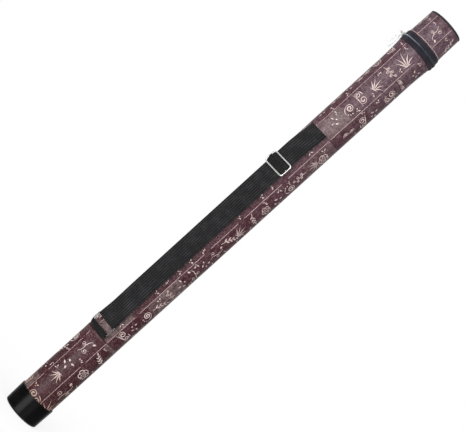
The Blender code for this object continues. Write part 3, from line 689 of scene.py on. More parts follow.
def plated_metal(name, tone, low, high, metallic=1.0):
    """Nickel plate: faint polishing lines, small pits and handling haze."""
    sketch = Finish(name, Metallic=metallic)
    place = sketch.place()
    haze = sketch.noise(place, 6 * MM, 4.0)
    pits = sketch.noise(place, 0.35 * MM, 3.0, 0.7)
    lines = sketch.noise(place.stretched(1.0, 1.0, 9.0), 1.2 * MM, 4.0)
    dull = sketch.mix(haze.spread(0.35, 0.75), colour(*tone), colour(*[c * 0.88 for c in tone]))
    pitted = sketch.mix(pits.spread(0.68, 0.80, 0.0, 0.4), dull, colour(120, 118, 116))
    normal = sketch.bump(lines, 0.03 * MM, 0.18, sketch.bump(pits, 0.03 * MM, 0.15))
    return sketch.done(pitted, haze.spread(0.3, 0.7, low, high), normal)


def nylon_coil():
    """Nylon wire with a painted highlight: paler towards -X, where the slider rests."""
    sketch = Finish("zip_nylon_coil", IOR=1.53, Specular_IOR_Level=0.45)
    place = sketch.place()
    fine = sketch.noise(place, 0.3 * MM, 3.0)
    cloud = sketch.noise(place, 5 * MM, 3.0)
    # Painted highlight: the coil is lightened towards -X, standing in for the light it reflects there
    painted_highlight = place.split()[0].spread(2 * MM, -32 * MM, 0.0, 0.85)
    new = sketch.mix(cloud.spread(0.3, 0.7), colour(64, 77, 88), colour(50, 61, 71))
    tone = sketch.mix(painted_highlight, new, colour(168, 182, 196))
    return sketch.done(tone, fine.spread(0.3, 0.7, 0.32, 0.48), sketch.bump(fine, 0.02 * MM, 0.3))


def sewing_thread(name, tone):
    """Twisted thread: turns round the stitch, with a soft sheen."""
    sketch = Finish(name, Sheen_Weight=0.2, Sheen_Roughness=0.4)
    twist = sketch.noise(sketch.place().stretched(1.0, 1.0, 3.0), 0.22 * MM, 2.0)
    lit = colour(*[min(255, c * 1.5 + 12) for c in tone])
    toned = sketch.mix(twist.spread(0.35, 0.65), colour(*tone), lit)
    return sketch.done(toned, twist.spread(0.3, 0.7, 0.55, 0.75), sketch.bump(twist, 0.08 * MM, 0.7))


def piping_leather():
    sketch = Finish("piping_leather", IOR=1.45)
    place = sketch.place()
    rub = sketch.noise(place, 5 * MM, 5.0, 0.65)
    base = sketch.mix(rub.spread(0.55, 0.75, 0.0, 0.7), colour(25, 23, 25), colour(72, 66, 68))
    grain = sketch.bump(sketch.cells(place, 0.8 * MM, "SMOOTH_F1"), 0.12 * MM, 0.6)
    return sketch.done(base, rub.spread(0.3, 0.7, 0.36, 0.55), grain)


def tube_board():
    """Wound kraft board: spiral plies, long fibres and a cut edge of many layers."""
    sketch = Finish("tube_board", Specular_IOR_Level=0.3)
    place = sketch.place()
    x, y, z = place.split()
    radius = (x * x + y * y).maths("SQRT")
    plies = abs((radius * (math.pi / (0.32 * MM))).maths("SINE"))
    wound = (z / (90 * MM) + y.maths("ARCTAN2", x) / (2 * math.pi)).maths("FRACT")
    joint = abs(wound - 0.5).spread(0.004, 0.0)
    fibre = sketch.noise(place.stretched(1.0, 1.0, 0.3), 0.7 * MM, 5.0, 0.7)
    base = sketch.mix(fibre.spread(0.3, 0.7), colour(141, 116, 88), colour(172, 147, 116))
    layered = sketch.mix(plies.spread(0.35, 0.0, 0.0, 0.45), base, colour(96, 76, 56))
    tone = sketch.mix(joint, layered, colour(92, 72, 52))
    normal = sketch.bump(fibre, 0.08 * MM, 0.6, sketch.bump(plies, 0.05 * MM, 0.5))
    return sketch.done(tone, fibre.spread(0.3, 0.7, 0.78, 0.92), normal)


def velvet(name, deep, pale):
    """Short cut pile, crushed in soft patches."""
    tint = colour(150, 146, 150)
    sketch = Finish(name, Sheen_Weight=0.9, Sheen_Roughness=0.35, Sheen_Tint=tint, Specular_IOR_Level=0.15)
    place = sketch.place()
    pile = sketch.noise(place, 0.28 * MM, 3.0, 0.75)
    crush = sketch.noise(place, 9 * MM, 4.0, 0.6)
    lit = sketch.mix(pile.spread(0.35, 0.7), colour(*deep), colour(*pale))
    tone = sketch.mix(crush.spread(0.45, 0.65, 0.0, 0.5), lit, colour(*pale))
    normal = sketch.bump(pile, 0.3 * MM, 0.8, sketch.bump(crush, 1.2 * MM, 0.3))
    return sketch.done(tone, crush.spread(0.3, 0.7, 0.82, 0.97), normal)


# ---- covers, foot cap and lid


def hem_rise(angle_deg, layers, share):
    """How far a hem stands out where it covers the sewn end of so many layers of webbing. share runs from 0,
    where the rise begins, to 1."""
    near = 1 - ease((abs(away(angle_deg, STRAP_ANGLE)) - 36.0) / 10.0)
    return near * (layers * (WEBBING + HALF_GAP) + 0.1 * MM) * min(1.0, max(0.0, share)) ** 2.7


def stitch_dip(height, row, width=1.3 * MM, depth=0.14 * MM):
    """Thread pulls the leather down along a row."""
    return depth * max(0.0, 1 - ((height - row) / width) ** 2) ** 2


def skin(angle_deg, height, base, row=None):
    """The cover's radius: base, with what the leather does by itself and the dip along a row of stitches."""
    # Stretched by hand, it is uneven by a few hundredths of a millimetre
    a = math.radians(angle_deg)
    ripple = math.sin(3 * a + 21 * height) + math.sin(5 * a - 47 * height + 1.3)
    uneven = 0.022 * MM * (ripple + math.sin(2 * a + 90 * height + 0.4))
    # The lengthwise glued lap down the back, where the cloth's end lies over its start
    off = away(angle_deg, SEAM_ANGLE)
    lap = 0.16 * MM * (ease((off + 1.2) / 1.2) - ease(off / 22.0)) * (off > -1.2)
    return base + uneven + lap - (stitch_dip(height, row) if row else 0.0)


def heights_between(low, high, step, row=None):
    """Heights for an outline's outer side, closer together round a row of stitches."""
    count = max(2, round((high - low) / step))
    found = {round(low + (high - low) * i / count, 7) for i in range(count + 1)}
    if row:
        close = [row + k * 0.4 * MM for k in range(-4, 5)]
        found.update(round(z, 7) for z in close if low < z < high)
    return sorted(found)


def turned_edge(radius, height, down, size):
    """The rounded outer corner of a turned edge, from the outer wall to the rim."""
    turns = [polar(size, 30 * step) for step in range(4)]
    return [(radius - size + x, height - down * (size - y)) for x, y in turns]


def lower_cover_radius(angle_deg, height):
    share = (height - (LOWER_SEAM - SEAM_HALF - HEM_FLAT - HEM_FADE)) / HEM_FADE
    return skin(angle_deg, height, COVER + hem_rise(angle_deg, 2, share), LOWER_HEM_ROW)


def upper_cover_radius(angle_deg, height):
    share = (UPPER_SEAM + SEAM_HALF + HEM_FLAT + HEM_FADE - height) / HEM_FADE
    flare_low = PARTING - BAND_HALF - HALF_GAP - FLARE_LENGTH
    flare = FLARE_RISE * min(1.0, max(0.0, (height - flare_low) / FLARE_LENGTH)) ** 2
    return skin(angle_deg, height, COVER + hem_rise(angle_deg, 1, share) + flare, UPPER_HEM_ROW)


def middle_cover_radius(angle_deg, height):
    return skin(angle_deg, height, COVER)


def lid_cover_radius(angle_deg, height):
    """The lid's cover draws in from its lip over the zip tape towards the end."""
    band_top = PARTING + BAND_HALF
    share = (height - band_top) / (LID_COVER_TOP - band_top)
    lip = 0.95 * MM * math.exp(-(height - band_top) / (2.6 * MM))
    return skin(angle_deg, height, 30.62 * MM + (29.9 * MM - 30.62 * MM) * share + lip, LID_HEM_ROW)


def cover_outline(radius_at, low, high, heights, round_low, round_high):
    """An outline function of a cover section between two heights."""

    def outline(angle_deg):
        bottom = radius_at(angle_deg, low)
        points = turned_edge(bottom, low, -1, round_low)[::-1] if round_low else [(bottom, low)]
        points += [(radius_at(angle_deg, z), z) for z in heights if low + round_low < z < high - round_high]
        points += turned_edge(radius_at(angle_deg, high), high, 1, round_high)
        return [(COVER_INNER, low), *points, (COVER_INNER, high)]

    return outline


def make_covers(leather):
    def section(where, outline, slot):
        piece = revolved(f"cover_{where}_leather", outline, leather[slot])
        return dress(piece, "case_body", slot, f"cover_{where}")

    top = LOWER_SEAM - SEAM_HALF
    lower_heights = heights_between(COVER_BOTTOM, top, 3 * MM, LOWER_HEM_ROW)
    lower_heights = sorted({*lower_heights, *heights_between(top - 24 * MM, top, 1.2 * MM)})
    outline = cover_outline(lower_cover_radius, COVER_BOTTOM, top, lower_heights, 0.0, 0.5 * MM)
    lower = section("lower", outline, "cover_leather_low")

    low, high = LOWER_SEAM + SEAM_HALF, UPPER_SEAM - SEAM_HALF
    heights = heights_between(low, high, 6 * MM)
    outline = cover_outline(middle_cover_radius, low, high, heights, 0.35 * MM, 0.35 * MM)
    middle = section("middle", outline, "cover_leather_mid")

    base = UPPER_SEAM + SEAM_HALF
    band_low = PARTING - BAND_HALF
    step_low = band_low - HALF_GAP
    body_top = PARTING - HALF_GAP
    upper_heights = heights_between(base, step_low, 3 * MM, UPPER_HEM_ROW)
    upper_heights = sorted({*upper_heights, *heights_between(base, base + 24 * MM, 1.2 * MM)})

    def upper_outline(angle_deg):
        points = turned_edge(upper_cover_radius(angle_deg, base), base, -1, 0.5 * MM)[::-1]
        wall = [z for z in upper_heights if base + 0.5 * MM < z < step_low]
        points += [(upper_cover_radius(angle_deg, z), z) for z in wall]
        points += turned_edge(upper_cover_radius(angle_deg, step_low), step_low, 1, 0.3 * MM)
        points += [(HEM, band_low), (HEM, body_top - 0.4 * MM), (HEM - 0.4 * MM, body_top)]
        return [(COVER_INNER, base), *points, (COVER_INNER, body_top)]

    return lower, middle, section("upper", upper_outline, "cover_leather_high")


def make_lid(leather):
    bottom = PARTING + HALF_GAP
    band_top = PARTING + BAND_HALF
    lip_height = band_top + 0.3 * MM
    heights = heights_between(band_top + 0.9 * MM, LID_COVER_TOP - 0.6 * MM, 1.4 * MM, LID_HEM_ROW)

    def outline(angle_deg):
        points = [(COVER_INNER, bottom), (HEM - 0.4 * MM, bottom), (HEM, bottom + 0.4 * MM), (HEM, band_top)]
        points += turned_edge(lid_cover_radius(angle_deg, lip_height), lip_height, -1, 0.3 * MM)[::-1]
        points += [(lid_cover_radius(angle_deg, z), z) for z in heights]
        top = lid_cover_radius(angle_deg, LID_COVER_TOP)
        return points + [(top - 0.15 * MM, LID_COVER_TOP - 0.15 * MM), (COVER_INNER, LID_COVER_TOP)]

    cover = revolved("lid_cover_leather", outline, leather)
    dress(cover, "lid", "cover_leather_high", "lid_cover")

    edge = 27.15 * MM
    base = 857.1 * MM

    def disc_outline(angle_deg):
        points = [(0.0, base), (edge, base), (edge, base + 0.8 * MM), (edge - 0.35 * MM, base + 1.15 * MM)]
        for share in (0.93, 0.86, 0.78, 0.66, 0.5, 0.33, 0.16):
            crown = 1.2 * MM + 0.8 * MM * (1 - share**2.4)
            wave = 0.03 * MM * math.sin(math.radians(2 * angle_deg) + 9 * share) * share
            points.append((edge * share, base + crown + wave))
        return points + [(0.0, base + 2.0 * MM)]

    disc = revolved("lid_end_leather", disc_outline, leather, closed=False)
    dress(disc, "lid", "cover_leather_high", "lid_end_disc")
    return cover


def make_piping(material):
    """The bead round the lid's end: cloth wrapped on a cord, its ends lapped at the back."""

    def outline(angle_deg):
        off = away(angle_deg, SEAM_ANGLE)
        lap = 0.10 * MM * (ease((off + 9.0) / 2.0) - ease((off - 1.0) / 2.0))
        pucker = 0.025 * MM * math.sin(math.radians(angle_deg * 58))
        size = 1.34 * MM + lap + pucker
        return [polar(size, 18 * step - 90, 28.9 * MM, CASE_TOP - 1.45 * MM) for step in range(20)]

    dress(revolved("lid_piping_bead", outline, material, steps=360), "lid", "piping_leather", "lid_piping")


def make_foot_cap(material):
    """The moulded cup under the case, with its corners and its rim softened."""
    height = 35.8 * MM
    rim = 31.7 * MM
    foot = 30.8 * MM
    corner = 2.5 * MM
    floor = 2.0 * MM
    step_up = 8.3 * MM

    def outline(_):
        points = [(0.0, 0.0), (foot * 0.5, 0.0)]
        points += [polar(corner, 9 * step - 90, foot - corner, corner) for step in range(11)]
        for share in (0.1, 0.25, 0.4, 0.55, 0.7, 0.85, 0.93):
            points.append((foot + (rim - foot) * share, corner + (height - corner) * share))
        points += turned_edge(rim, height, 1, 0.45 * MM)
        points += [(30.7 * MM, height), (30.4 * MM, height - 0.12 * MM), (30.3 * MM, height - 0.45 * MM)]
        return points + [(30.3 * MM, step_up), (COVER_INNER, step_up), (COVER_INNER, floor), (0.0, floor)]

    cap = revolved("foot_cap_moulded", outline, material, closed=False)
    dress(cap, "case_body", "cap_plastic", "bottom_cap")


def lining_outline(low, high):
    """Velvet with its ends rolled over."""
    count = max(6, round((high - low) / (12 * MM)))
    inner = 25.5 * MM
    roll = 0.58 * MM
    held = [min(max(low + (high - low) * i / count, low + roll), high - roll) for i in range(count + 1)]

    def rolled(height, first):
        turns = [math.radians(first + 30 * step) for step in range(1, 6)]
        return [(inner + 0.6 * MM * (1 + math.cos(a)), height + roll * math.sin(a)) for a in turns]

    def outline(angle_deg):
        nap = [0.05 * MM * math.sin(math.radians(angle_deg * 6) + z * 160) for z in held]
        wall = [(inner + 0.06 * MM + depth, z) for depth, z in zip(nap, held)][::-1]
        return [(26.7 * MM, z) for z in held] + rolled(high - roll, 0) + wall + rolled(low + roll, 180)

    return outline


def pad_outline(base, lift):
    """A crowned foam pad, quilted a little. lift is 1 if it faces up and -1 if it faces down."""
    edge = 26.6 * MM
    rim = ((0.5, 0.0), (0.0, 0.7), (0.0, 2.6), (0.5, 3.5))

    def outline(angle_deg):
        points = [(0.0, 0.0), (edge / 2, 0.0)] + [(edge - x * MM, z * MM) for x, z in rim]
        for share in (0.93, 0.85, 0.74, 0.6, 0.45, 0.3, 0.15):
            quilt = 0.16 * MM * math.cos(math.radians(angle_deg * 4)) * math.sin(math.pi * share)
            points.append((edge * share, 3.6 * MM + 1.05 * MM * (1 - share**2.2) + quilt))
        return [(r, base + lift * z) for r, z in [*points, (0.0, 4.5 * MM)]][::lift]

    return outline


def make_inside(lining, foam):
    """Velvet lining with its ends rolled over, and the foam pads that hold the flute's ends."""
    for where, body, low, high in (
        ("tube", "case_body", 7.6 * MM, PARTING - HALF_GAP),
        ("lid", "lid", PARTING + HALF_GAP, 849.8 * MM),
    ):
        piece = face_out(revolved(f"{where}_lining_velvet", lining_outline(low, high), lining, steps=96))
        dress(piece, body, "lining_velvet", f"{where}_lining")
    for name, body, base, lift in (("bottom_pad", "case_body", 2.3 * MM, 1), ("lid_pad", "lid", 855.1 * MM, -1)):
        piece = face_out(revolved(f"{name}_foam", pad_outline(base, lift), foam, steps=96, closed=False))
        dress(piece, body, "foam_pad", name)


# ---- zip


# A tape's outline in mm from the parting line and from the axis, against the cover and then outside
TAPE_BACK = ((9.20, 31.42), (4.40, 31.42), (3.20, 31.60), (2.20, 32.30))
TAPE_FACE = (
    (1.05, 32.98), (0.86, 33.20), (0.86, 33.46), (1.02, 33.68), (1.30, 33.76), (1.70, 33.70), (2.15, 33.50),
    (2.55, 33.20), (3.00, 32.86), (3.50, 32.66), (4.20, 32.56), (5.20, 32.52), (6.40, 32.50), (7.40, 32.46),
    (7.95, 32.28), (8.20, 32.20), (8.45, 32.26), (8.90, 32.22), (9.30, 31.95), (9.50, 31.55),
)


def tape_bulge(angle_deg, height, side):
    """The lower tape stands off a little on the side away from the slider. side is -1 for the lower tape."""
    if side > 0:
        return 0.0
    near = 1 - ease((abs(away(angle_deg, 2.0)) - 12.0) / 46.0)
    below = PARTING - height
    return 1.15 * MM * near * ease((below - 3.0 * MM) / (1.6 * MM)) * ease((9.4 * MM - below) / (2.0 * MM))


def make_tapes(cloth):
    """Each tape is thin at its sewn edge and laps up over the coil at the parting line."""
    for side, half, body in SIDES:

        def outline(angle_deg, side=side):
            pucker = 0.05 * MM * math.sin(math.radians(angle_deg * 33))
            points = []
            for off, radius in TAPE_BACK + TAPE_FACE:
                height = PARTING + side * off * MM
                loose = pucker if (off, radius) in TAPE_FACE else 0.0
                points.append((radius * MM + loose + tape_bulge(angle_deg, height, side), height))
            return points

        ends = HINGE_END + ZIP_TRIM, HINGE_START + 360 - ZIP_TRIM
        tape = face_out(revolved(f"zip_tape_{half}_woven", outline, cloth, *ends, 200))
        dress(tape, body, "zip_tape", f"zip_tape_{half}")


# One turn of the coil in mm: out along the tape, round its head at the parting line, and back. Its thickness
# comes last
COIL_TURN = (
    (-0.34, 1.75, 0.16, 0.26), (-0.22, 0.90, 0.26, 0.28), (-0.10, 0.10, 0.30, 0.29), (-0.02, -0.16, 0.20, 0.31),
    (0.04, -0.28, 0.00, 0.32), (0.10, -0.16, -0.20, 0.31), (0.16, 0.10, -0.30, 0.29), (0.26, 0.90, -0.26, 0.28),
    (0.34, 1.75, -0.16, 0.26),
)


def arc_path(name, radius, height, start, end, step_deg=2.0):
    """A path round the tube whose points know which way is out."""
    closed = end - start >= 360.0
    count = max(4, round((end - start) / step_deg))
    angles = [start + (end - start) * i / count for i in range(count if closed else count + 1)]
    chain = [(*polar(radius(a) if callable(radius) else radius, a), height) for a in angles]
    return new_path(name, [(chain, closed, {"lift": [(*polar(1.0, a), 0.0) for a in angles]})])


def make_coils(groups, material):
    spacing = 1.30 * MM
    radius = 33.12 * MM
    margin = math.degrees(2.6 * MM / radius)
    step = math.degrees(spacing / radius)
    for (side, half, body), shift in zip(SIDES, (0.0, 0.5)):
        chain = [(x * MM, side * y * MM, z * MM) for x, y, z, _ in COIL_TURN]
        path = new_path("coil_turn", [(chain, False, {"thick": [point[3] * MM for point in COIL_TURN]})])
        turn = apply_group(path, groups["wire"], Sides=7, Material=material)
        if side < 0:
            face_out(turn)
        ends = HINGE_END + margin + shift * step, HINGE_START + 360 - margin - (1 - shift) * step
        row = arc_path(f"zip_coil_{half}_turns", radius, PARTING, *ends, 1.0)
        coil = apply_group(row, groups["row"], Shape=turn, Spacing=spacing, Material=material)
        bpy.data.objects.remove(turn)
        dress(coil, body, "zip_coil", f"zip_coil_{half}")


def make_stops(metal):
    """Pressed metal stops at both ends of each half of the chain."""
    inner = 32.8 * MM
    turn = math.degrees(1.8 * MM / inner)
    last = HINGE_START + 360 - ZIP_TRIM - turn
    for side, half, body in SIDES:
        for label, start in (("closed_end", HINGE_END + ZIP_TRIM), ("open_end", last)):

            def outline(angle_deg, side=side, start=start):
                pinch = 0.18 * MM * (abs(angle_deg - start - turn / 2) / (turn / 2)) ** 4
                outer = 33.78 * MM - pinch
                low, high = sorted(PARTING + side * z for z in (0.15 * MM + pinch, 2.1 * MM - pinch))
                edges = turned_edge(outer, low, -1, 0.3 * MM)[::-1] + turned_edge(outer, high, 1, 0.3 * MM)
                return [(inner, low + 0.2 * MM), *edges, (inner, high - 0.2 * MM)]

            node = f"zip_stop_{half}_{label}"
            stop = face_out(revolved(f"{node}_pressed", outline, metal, start, start + turn, 10))
            dress(stop, body, "zip_metal", node)


def make_hinge(leather):
    """One band of leather that carries on from the tape, with a crease where the lid opens."""
    half = BAND_HALF - 0.05 * MM
    steps = 40
    back = 17

    def outline(_):
        points = [(TAPE_INNER, PARTING - half)]
        for step in range(steps + 1):
            off = half * (2 * step / steps - 1)
            edge = ease((half - abs(off)) / (0.9 * MM))
            crease = 0.28 * MM * math.exp(-((off / (0.9 * MM)) ** 2))
            row = stitch_dip(abs(off), BAND_ROW, 0.8 * MM, 0.10 * MM)
            points.append((TAPE_INNER + (0.55 + 0.72 * edge) * MM - crease - row, PARTING + off))
        return points + [(TAPE_INNER, PARTING + half * (1 - 2 * step / back)) for step in range(1, back)]

    hinge = face_out(revolved("hinge_band_leather", outline, leather, HINGE_START, HINGE_END, 60))
    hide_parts("hinge_strip_lower", "hinge_strip_upper")
    x, y = polar(33.0 * MM, (HINGE_START + HINGE_END) / 2)
    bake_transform(hinge)


def merge_close(bm):
    """Joins doubled points and turns faces outwards."""
    bmesh.ops.remove_doubles(bm, verts=bm.verts, dist=0.001 * MM)
    bmesh.ops.recalc_face_normals(bm, faces=bm.faces)


def flat_plate(name, outlines, depth, bevel, frame, material):
    """A plate with rounded edges, cut out along outlines given in frame: the first is its rim, the rest are
    holes. Its depth and bevel are in mm."""
    curve = bpy.data.curves.new(name, "CURVE")
    curve.dimensions = "2D"
    curve.fill_mode = "BOTH"
    curve.extrude = (depth / 2 - bevel) * MM
    curve.bevel_depth = bevel * MM
    curve.bevel_resolution = 2
    curve.offset = -bevel * MM
    for points in outlines:
        spline = curve.splines.new("POLY")
        spline.points.add(len(points) - 1)
        for control, (x, y) in zip(spline.points, points):
            control.co = (x, y, 0.0, 1.0)
        spline.use_cyclic_u = True
    source = bpy.data.objects.new(name, curve)
    mesh = bpy.data.meshes.new_from_object(source)
    bpy.data.objects.remove(source)
    mesh.transform(frame)
    piece = reworked(in_scene(name, mesh), merge_close)
    smoothed(mesh, 40.0, material)
    return piece


def rounded_outline(corners, size, steps=6):
    """A closed outline with each corner rounded, from corners in mm that run anticlockwise. size may be one
    value per corner."""
    sizes = size if isinstance(size, tuple) else (size,) * len(corners)
    points = []
    for i, (corner, radius) in enumerate(zip(corners, sizes)):
        here, before, after = (Vector(corners[k % len(corners)]) for k in (i, i - 1, i + 1))
        back = (before - here).normalized()
        ahead = (after - here).normalized()
        half = math.acos(max(-1.0, min(1.0, back.dot(ahead)))) / 2
        reach = min(radius / math.tan(half), (before - here).length / 2, (after - here).length / 2)
        for step in range(steps + 1):
            share = step / steps
            first = here + back * reach * (1 - share)
            second = here + ahead * reach * share
            points.append(first * (1 - share) + second * share)
    return in_mm(points)


def circle_outline(radius, x=0.0, steps=32, turn=1):
    return in_mm(polar(radius, turn * 360 * i / steps, x) for i in range(steps))


def joined(name, parts):
    """One object from several that share a finish."""
    for part in bpy.context.selected_objects:
        part.select_set(False)
    for part in parts:
        part.select_set(True)
    bpy.context.view_layer.objects.active = parts[0]
    bpy.ops.object.join()
    parts[0].name = parts[0].data.name = name
    return parts[0]


def make_slider(groups, metal, bright):
    def plate(label, rim, depth, bevel, radius):
        frame = place_frame(SLIDER_ANGLE, radius, PARTING)
        return flat_plate(f"slider_{label}", [rim], depth, bevel, frame, metal)

    corners = [(-5.5, -2.2), (-4.6, -4.15), (-0.6, -4.15), (2.4, -3.0), (5.1, -3.3), (5.5, -1.6)]
    corners += [(x, -y) for x, y in corners[::-1]]
    rounds = (0.9, 0.9, 2.2, 1.6, 0.8, 0.9)
    rim = rounded_outline(corners, rounds + rounds[::-1], 4)
    flange = rounded_outline([(-5.3, -4.12), (1.6, -4.12), (1.6, -3.38), (-5.3, -3.38)], 0.3, 3)
    ridge = rounded_outline([(-4.6, -2.9), (-1.2, -2.9), (-1.2, -2.2), (-4.6, -2.2)], 0.3, 3)
    crown_seat = 35.2 * MM
    parts = [
        plate("plate_cast", rim, 1.0, 0.28, SLIDER_PLANE + 0.5 * MM),
        plate("flange", flange, 1.5, 0.15, 33.65 * MM),
        *(plate("crown_seat", circle_outline(1.7, x, 24), 0.5, 0.15, crown_seat) for x in (-3.6, 3.6)),
        plate("ridge", ridge, 0.3, 0.1, crown_seat),
        plate("ridge", [(x, -y) for x, y in ridge][::-1], 0.3, 0.1, crown_seat),
    ]
    dress(joined("slider_body_cast", parts), "zip_slider", "zip_metal", "slider_body")

    foot = 35.3 * MM
    half = 3.6 * MM
    corner = 1.5 * MM
    arch = [(-half, foot)]
    for side, start in ((-1, 180), (1, 90)):
        turns = [start - 90 * step / 8 for step in range(9)]
        arch += [polar(corner, a, side * (half - corner), BAIL_PLANE - corner) for a in turns]
    arch.append((half, foot))
    base = place_frame(SLIDER_ANGLE, 0.0, PARTING)
    chain = [base @ Vector((x, 0.0, z)) for x, z in arch]
    path = new_path("slider_crown_wire", [(chain, False, {"thick": [1.03 * MM] * len(chain)})])
    crown = apply_group(path, groups["wire"], Sides=20, Material=metal)
    dress(crown, "zip_slider", "zip_metal", "slider_crown")

    out = Vector((*polar(1.0, SLIDER_ANGLE), 0))
    up = Vector((0, 0, 1))
    frame = Matrix((out, up, out.cross(up))).transposed().to_4x4()
    frame.translation = out * BAIL_PLANE + up * PARTING
    frame = frame @ Matrix.Rotation(math.radians(-1.5), 4, "Z")
    corners = [(-2.35, -3.6), (-2.35, -4.9), (-3.6, -7.0), (-3.6, -29.6)]
    corners += [(-x, y) for x, y in corners[::-1]]
    rounds = (0.8, 1.4, 1.6, 2.4)
    rim = in_mm(polar(2.9, a) for a in range(-20, 201, 10)) + rounded_outline(corners, rounds + rounds[::-1])
    hole = circle_outline(1.45, steps=28, turn=-1)
    slot = rounded_outline([(-1.5, -9.75), (1.5, -9.75), (1.5, -23.25), (-1.5, -23.25)], 1.45)
    tab = flat_plate("pull_tab_stamped", [rim, hole, slot], 1.2, 0.25, frame, bright)
    dress(tab, "zip_puller", "bright_metal", "pull_tab")


# ---- strap: stations are (radius, height, roundness) of its inner face


def run_stations():
    """The outer run, from its sewn top to its tail behind the ring."""
    top = UPPER_SEAM - SEAM_HALF
    wrap_low = 564.0 * MM
    anchor = COVER + 0.3 * MM
    bend_top = RING_HIGH_BAR + RUN_BEND
    tail_top = RETURN_BOTTOM - HALF_GAP
    stations = []
    for step in range(25):
        eased = ease(step / 24)
        height = top + (wrap_low - top) * step / 24
        stations.append((anchor + (RUN_INNER - anchor) * eased, height, (1 - eased) / anchor))
    stations += [(RUN_INNER, wrap_low + (bend_top - wrap_low) * step / 62, 0.0) for step in range(1, 63)]
    for step in range(1, 25):
        stations.append((run_bend_radius(step / 24), bend_top - RUN_BEND * step / 24, 0.0))
    for step in range(1, 17):
        stations.append((*polar(RING_FOLD, -180 * step / 16, RING_PLANE, RING_HIGH_BAR), 0.0))
    for step in range(1, 4):
        height = RING_HIGH_BAR + (tail_top - RING_HIGH_BAR) * step / 3
        stations.append((RING_PLANE - RING_FOLD, height, 0.0))
    return stations


def run_bend_radius(share):
    """How far out the run's inner face is where it comes to the ring."""
    return RUN_INNER + (RING_PLANE + RING_FOLD - RUN_INNER) * ease(share)


def tab_stations():
    """The folded tab, from under the hem round the ring's low bar and back."""
    inner = COVER + 0.3 * MM + WEBBING
    low = LOWER_SEAM + SEAM_HALF
    legs = []
    for start, side in ((inner, -1), (inner + 0.3 * MM, 1)):
        leg = []
        for step in range(13):
            eased = ease(step / 12)
            radius = start + (RING_PLANE + side * RING_FOLD - start) * eased
            leg.append((radius, low + (RING_LOW_BAR - low) * step / 12, (1 - eased) / start))
        legs.append(leg)
    fold = [(*polar(RING_FOLD, 180 - 180 * step / 16, RING_PLANE, RING_LOW_BAR), 0.0) for step in range(1, 16)]
    return legs[0] + fold + legs[1][::-1]


def hump_stations():
    """The stretch of the run that rises over the buckle's middle bar."""
    foot = 33.6 * MM
    peak = 37.9 * MM
    span = 17.1 * MM
    shares = [step / 36 for step in range(37)]
    rises = [(1 - math.cos(2 * math.pi * share)) / 2 for share in shares]
    return [(foot + (peak - foot) * r, BUCKLE_HEIGHT + span * (1 / 2 - s), 0.0) for s, r in zip(shares, rises)]


def webbing_section(steps, width):
    """Round the webbing's cross-section: (across, depth, share across, how much of a face it is)."""
    edge = WEBBING / 2
    flat = width / 2 - edge
    face = [(-flat + 2 * flat * step / steps, step / steps) for step in range(steps + 1)]
    ends = [[(*polar(edge, turn + 30 * step, x, edge), share, 0.0) for step in range(1, 6)]
            for turn, x, share in ((-90, flat, 1.0), (90, -flat, 0.0))]
    section = [(a, 0.0, share, 1.0) for a, share in face] + ends[0]
    return section + [(a, WEBBING, share, 1.0) for a, share in face[::-1]] + ends[1]


def webbing(name, stations, groups, material, steps=8 * RIBS, width=WEBBING_WIDTH):
    """Ribbed webbing along stations in the strap's own plane."""
    frame = place_frame(STRAP_ANGLE, 0.0, 0.0)
    section = webbing_section(steps, width)
    count = len(section)
    points = []
    travelled = [0.0]
    for i, (radius, height, roundness) in enumerate(stations):
        before = stations[max(0, i - 1)]
        after = stations[min(len(stations) - 1, i + 1)]
        heading = Vector((after[0] - before[0], after[1] - before[1])).normalized()
        turned = lean(height) @ frame
        if i:
            travelled.append(travelled[-1] + math.hypot(radius - before[0], height - before[1]))
        for across, depth, _, _ in section:
            turn = across * roundness
            drop = (1 - math.cos(turn)) / roundness if roundness else 0.0
            rise = -depth * heading.y
            sideways = math.sin(turn) * (1 / roundness + rise) if roundness else across
            out = radius + rise * math.cos(turn) - drop
            points.append(turned @ Vector((sideways, height + depth * heading.x, out)))
    faces = []
    uvs = []
    for i in range(len(stations) - 1):
        v0, v1 = travelled[i : i + 2]
        for k in range(count):
            m = (k + 1) % count
            faces.append([i * count + k, i * count + m, (i + 1) * count + m, (i + 1) * count + k])
            u0, u1 = section[k][0], section[m][0]
            uvs.append([(u0, v0), (u1, v0), (u1, v1), (u0, v1)])
    last = (len(stations) - 1) * count
    flat = [place[:2] for place in section]
    faces += [list(range(count))[::-1], [last + k for k in range(count)]]
    uvs += [flat[::-1], flat]
    strip = face_out(new_piece(name, points, faces, material, uvs))
    for key, column in (("across", 2), ("face", 3)):
        values = [place[column] for place in section]
        add_column(strip.data, key, np.tile(values, len(stations)).astype(np.float32))
    apply_group(strip, groups["ribs"], Ribs=float(RIBS), Groove_Depth=0.20 * MM, Material=material)
    smoothed(strip.data, 60.0)
    return strip


def wire_loop(width, height, corner, frame, thick, steps=8):
    """A closed wire with rounded corners, as a path's chain."""
    chain = []
    for quarter, (side_x, side_y) in enumerate(((1, 1), (-1, 1), (-1, -1), (1, -1))):
        centre = side_x * (width / 2 - corner), side_y * (height / 2 - corner)
        turns = [90 * (quarter + step / steps) for step in range(steps + 1)]
        chain += [frame @ Vector((*polar(corner, a, *centre), 0.0)) for a in turns]
    return chain, True, {"thick": [thick] * len(chain)}


# The buckle's middle bar and its bent ends: (share of the half width, rise in mm, thickness in mm)
BAR_BENDS = ((0.877, 0.0, 1.0), (0.91, -0.5, 0.85), (0.945, -0.85, 0.85), (1.0, -0.85, 0.85))


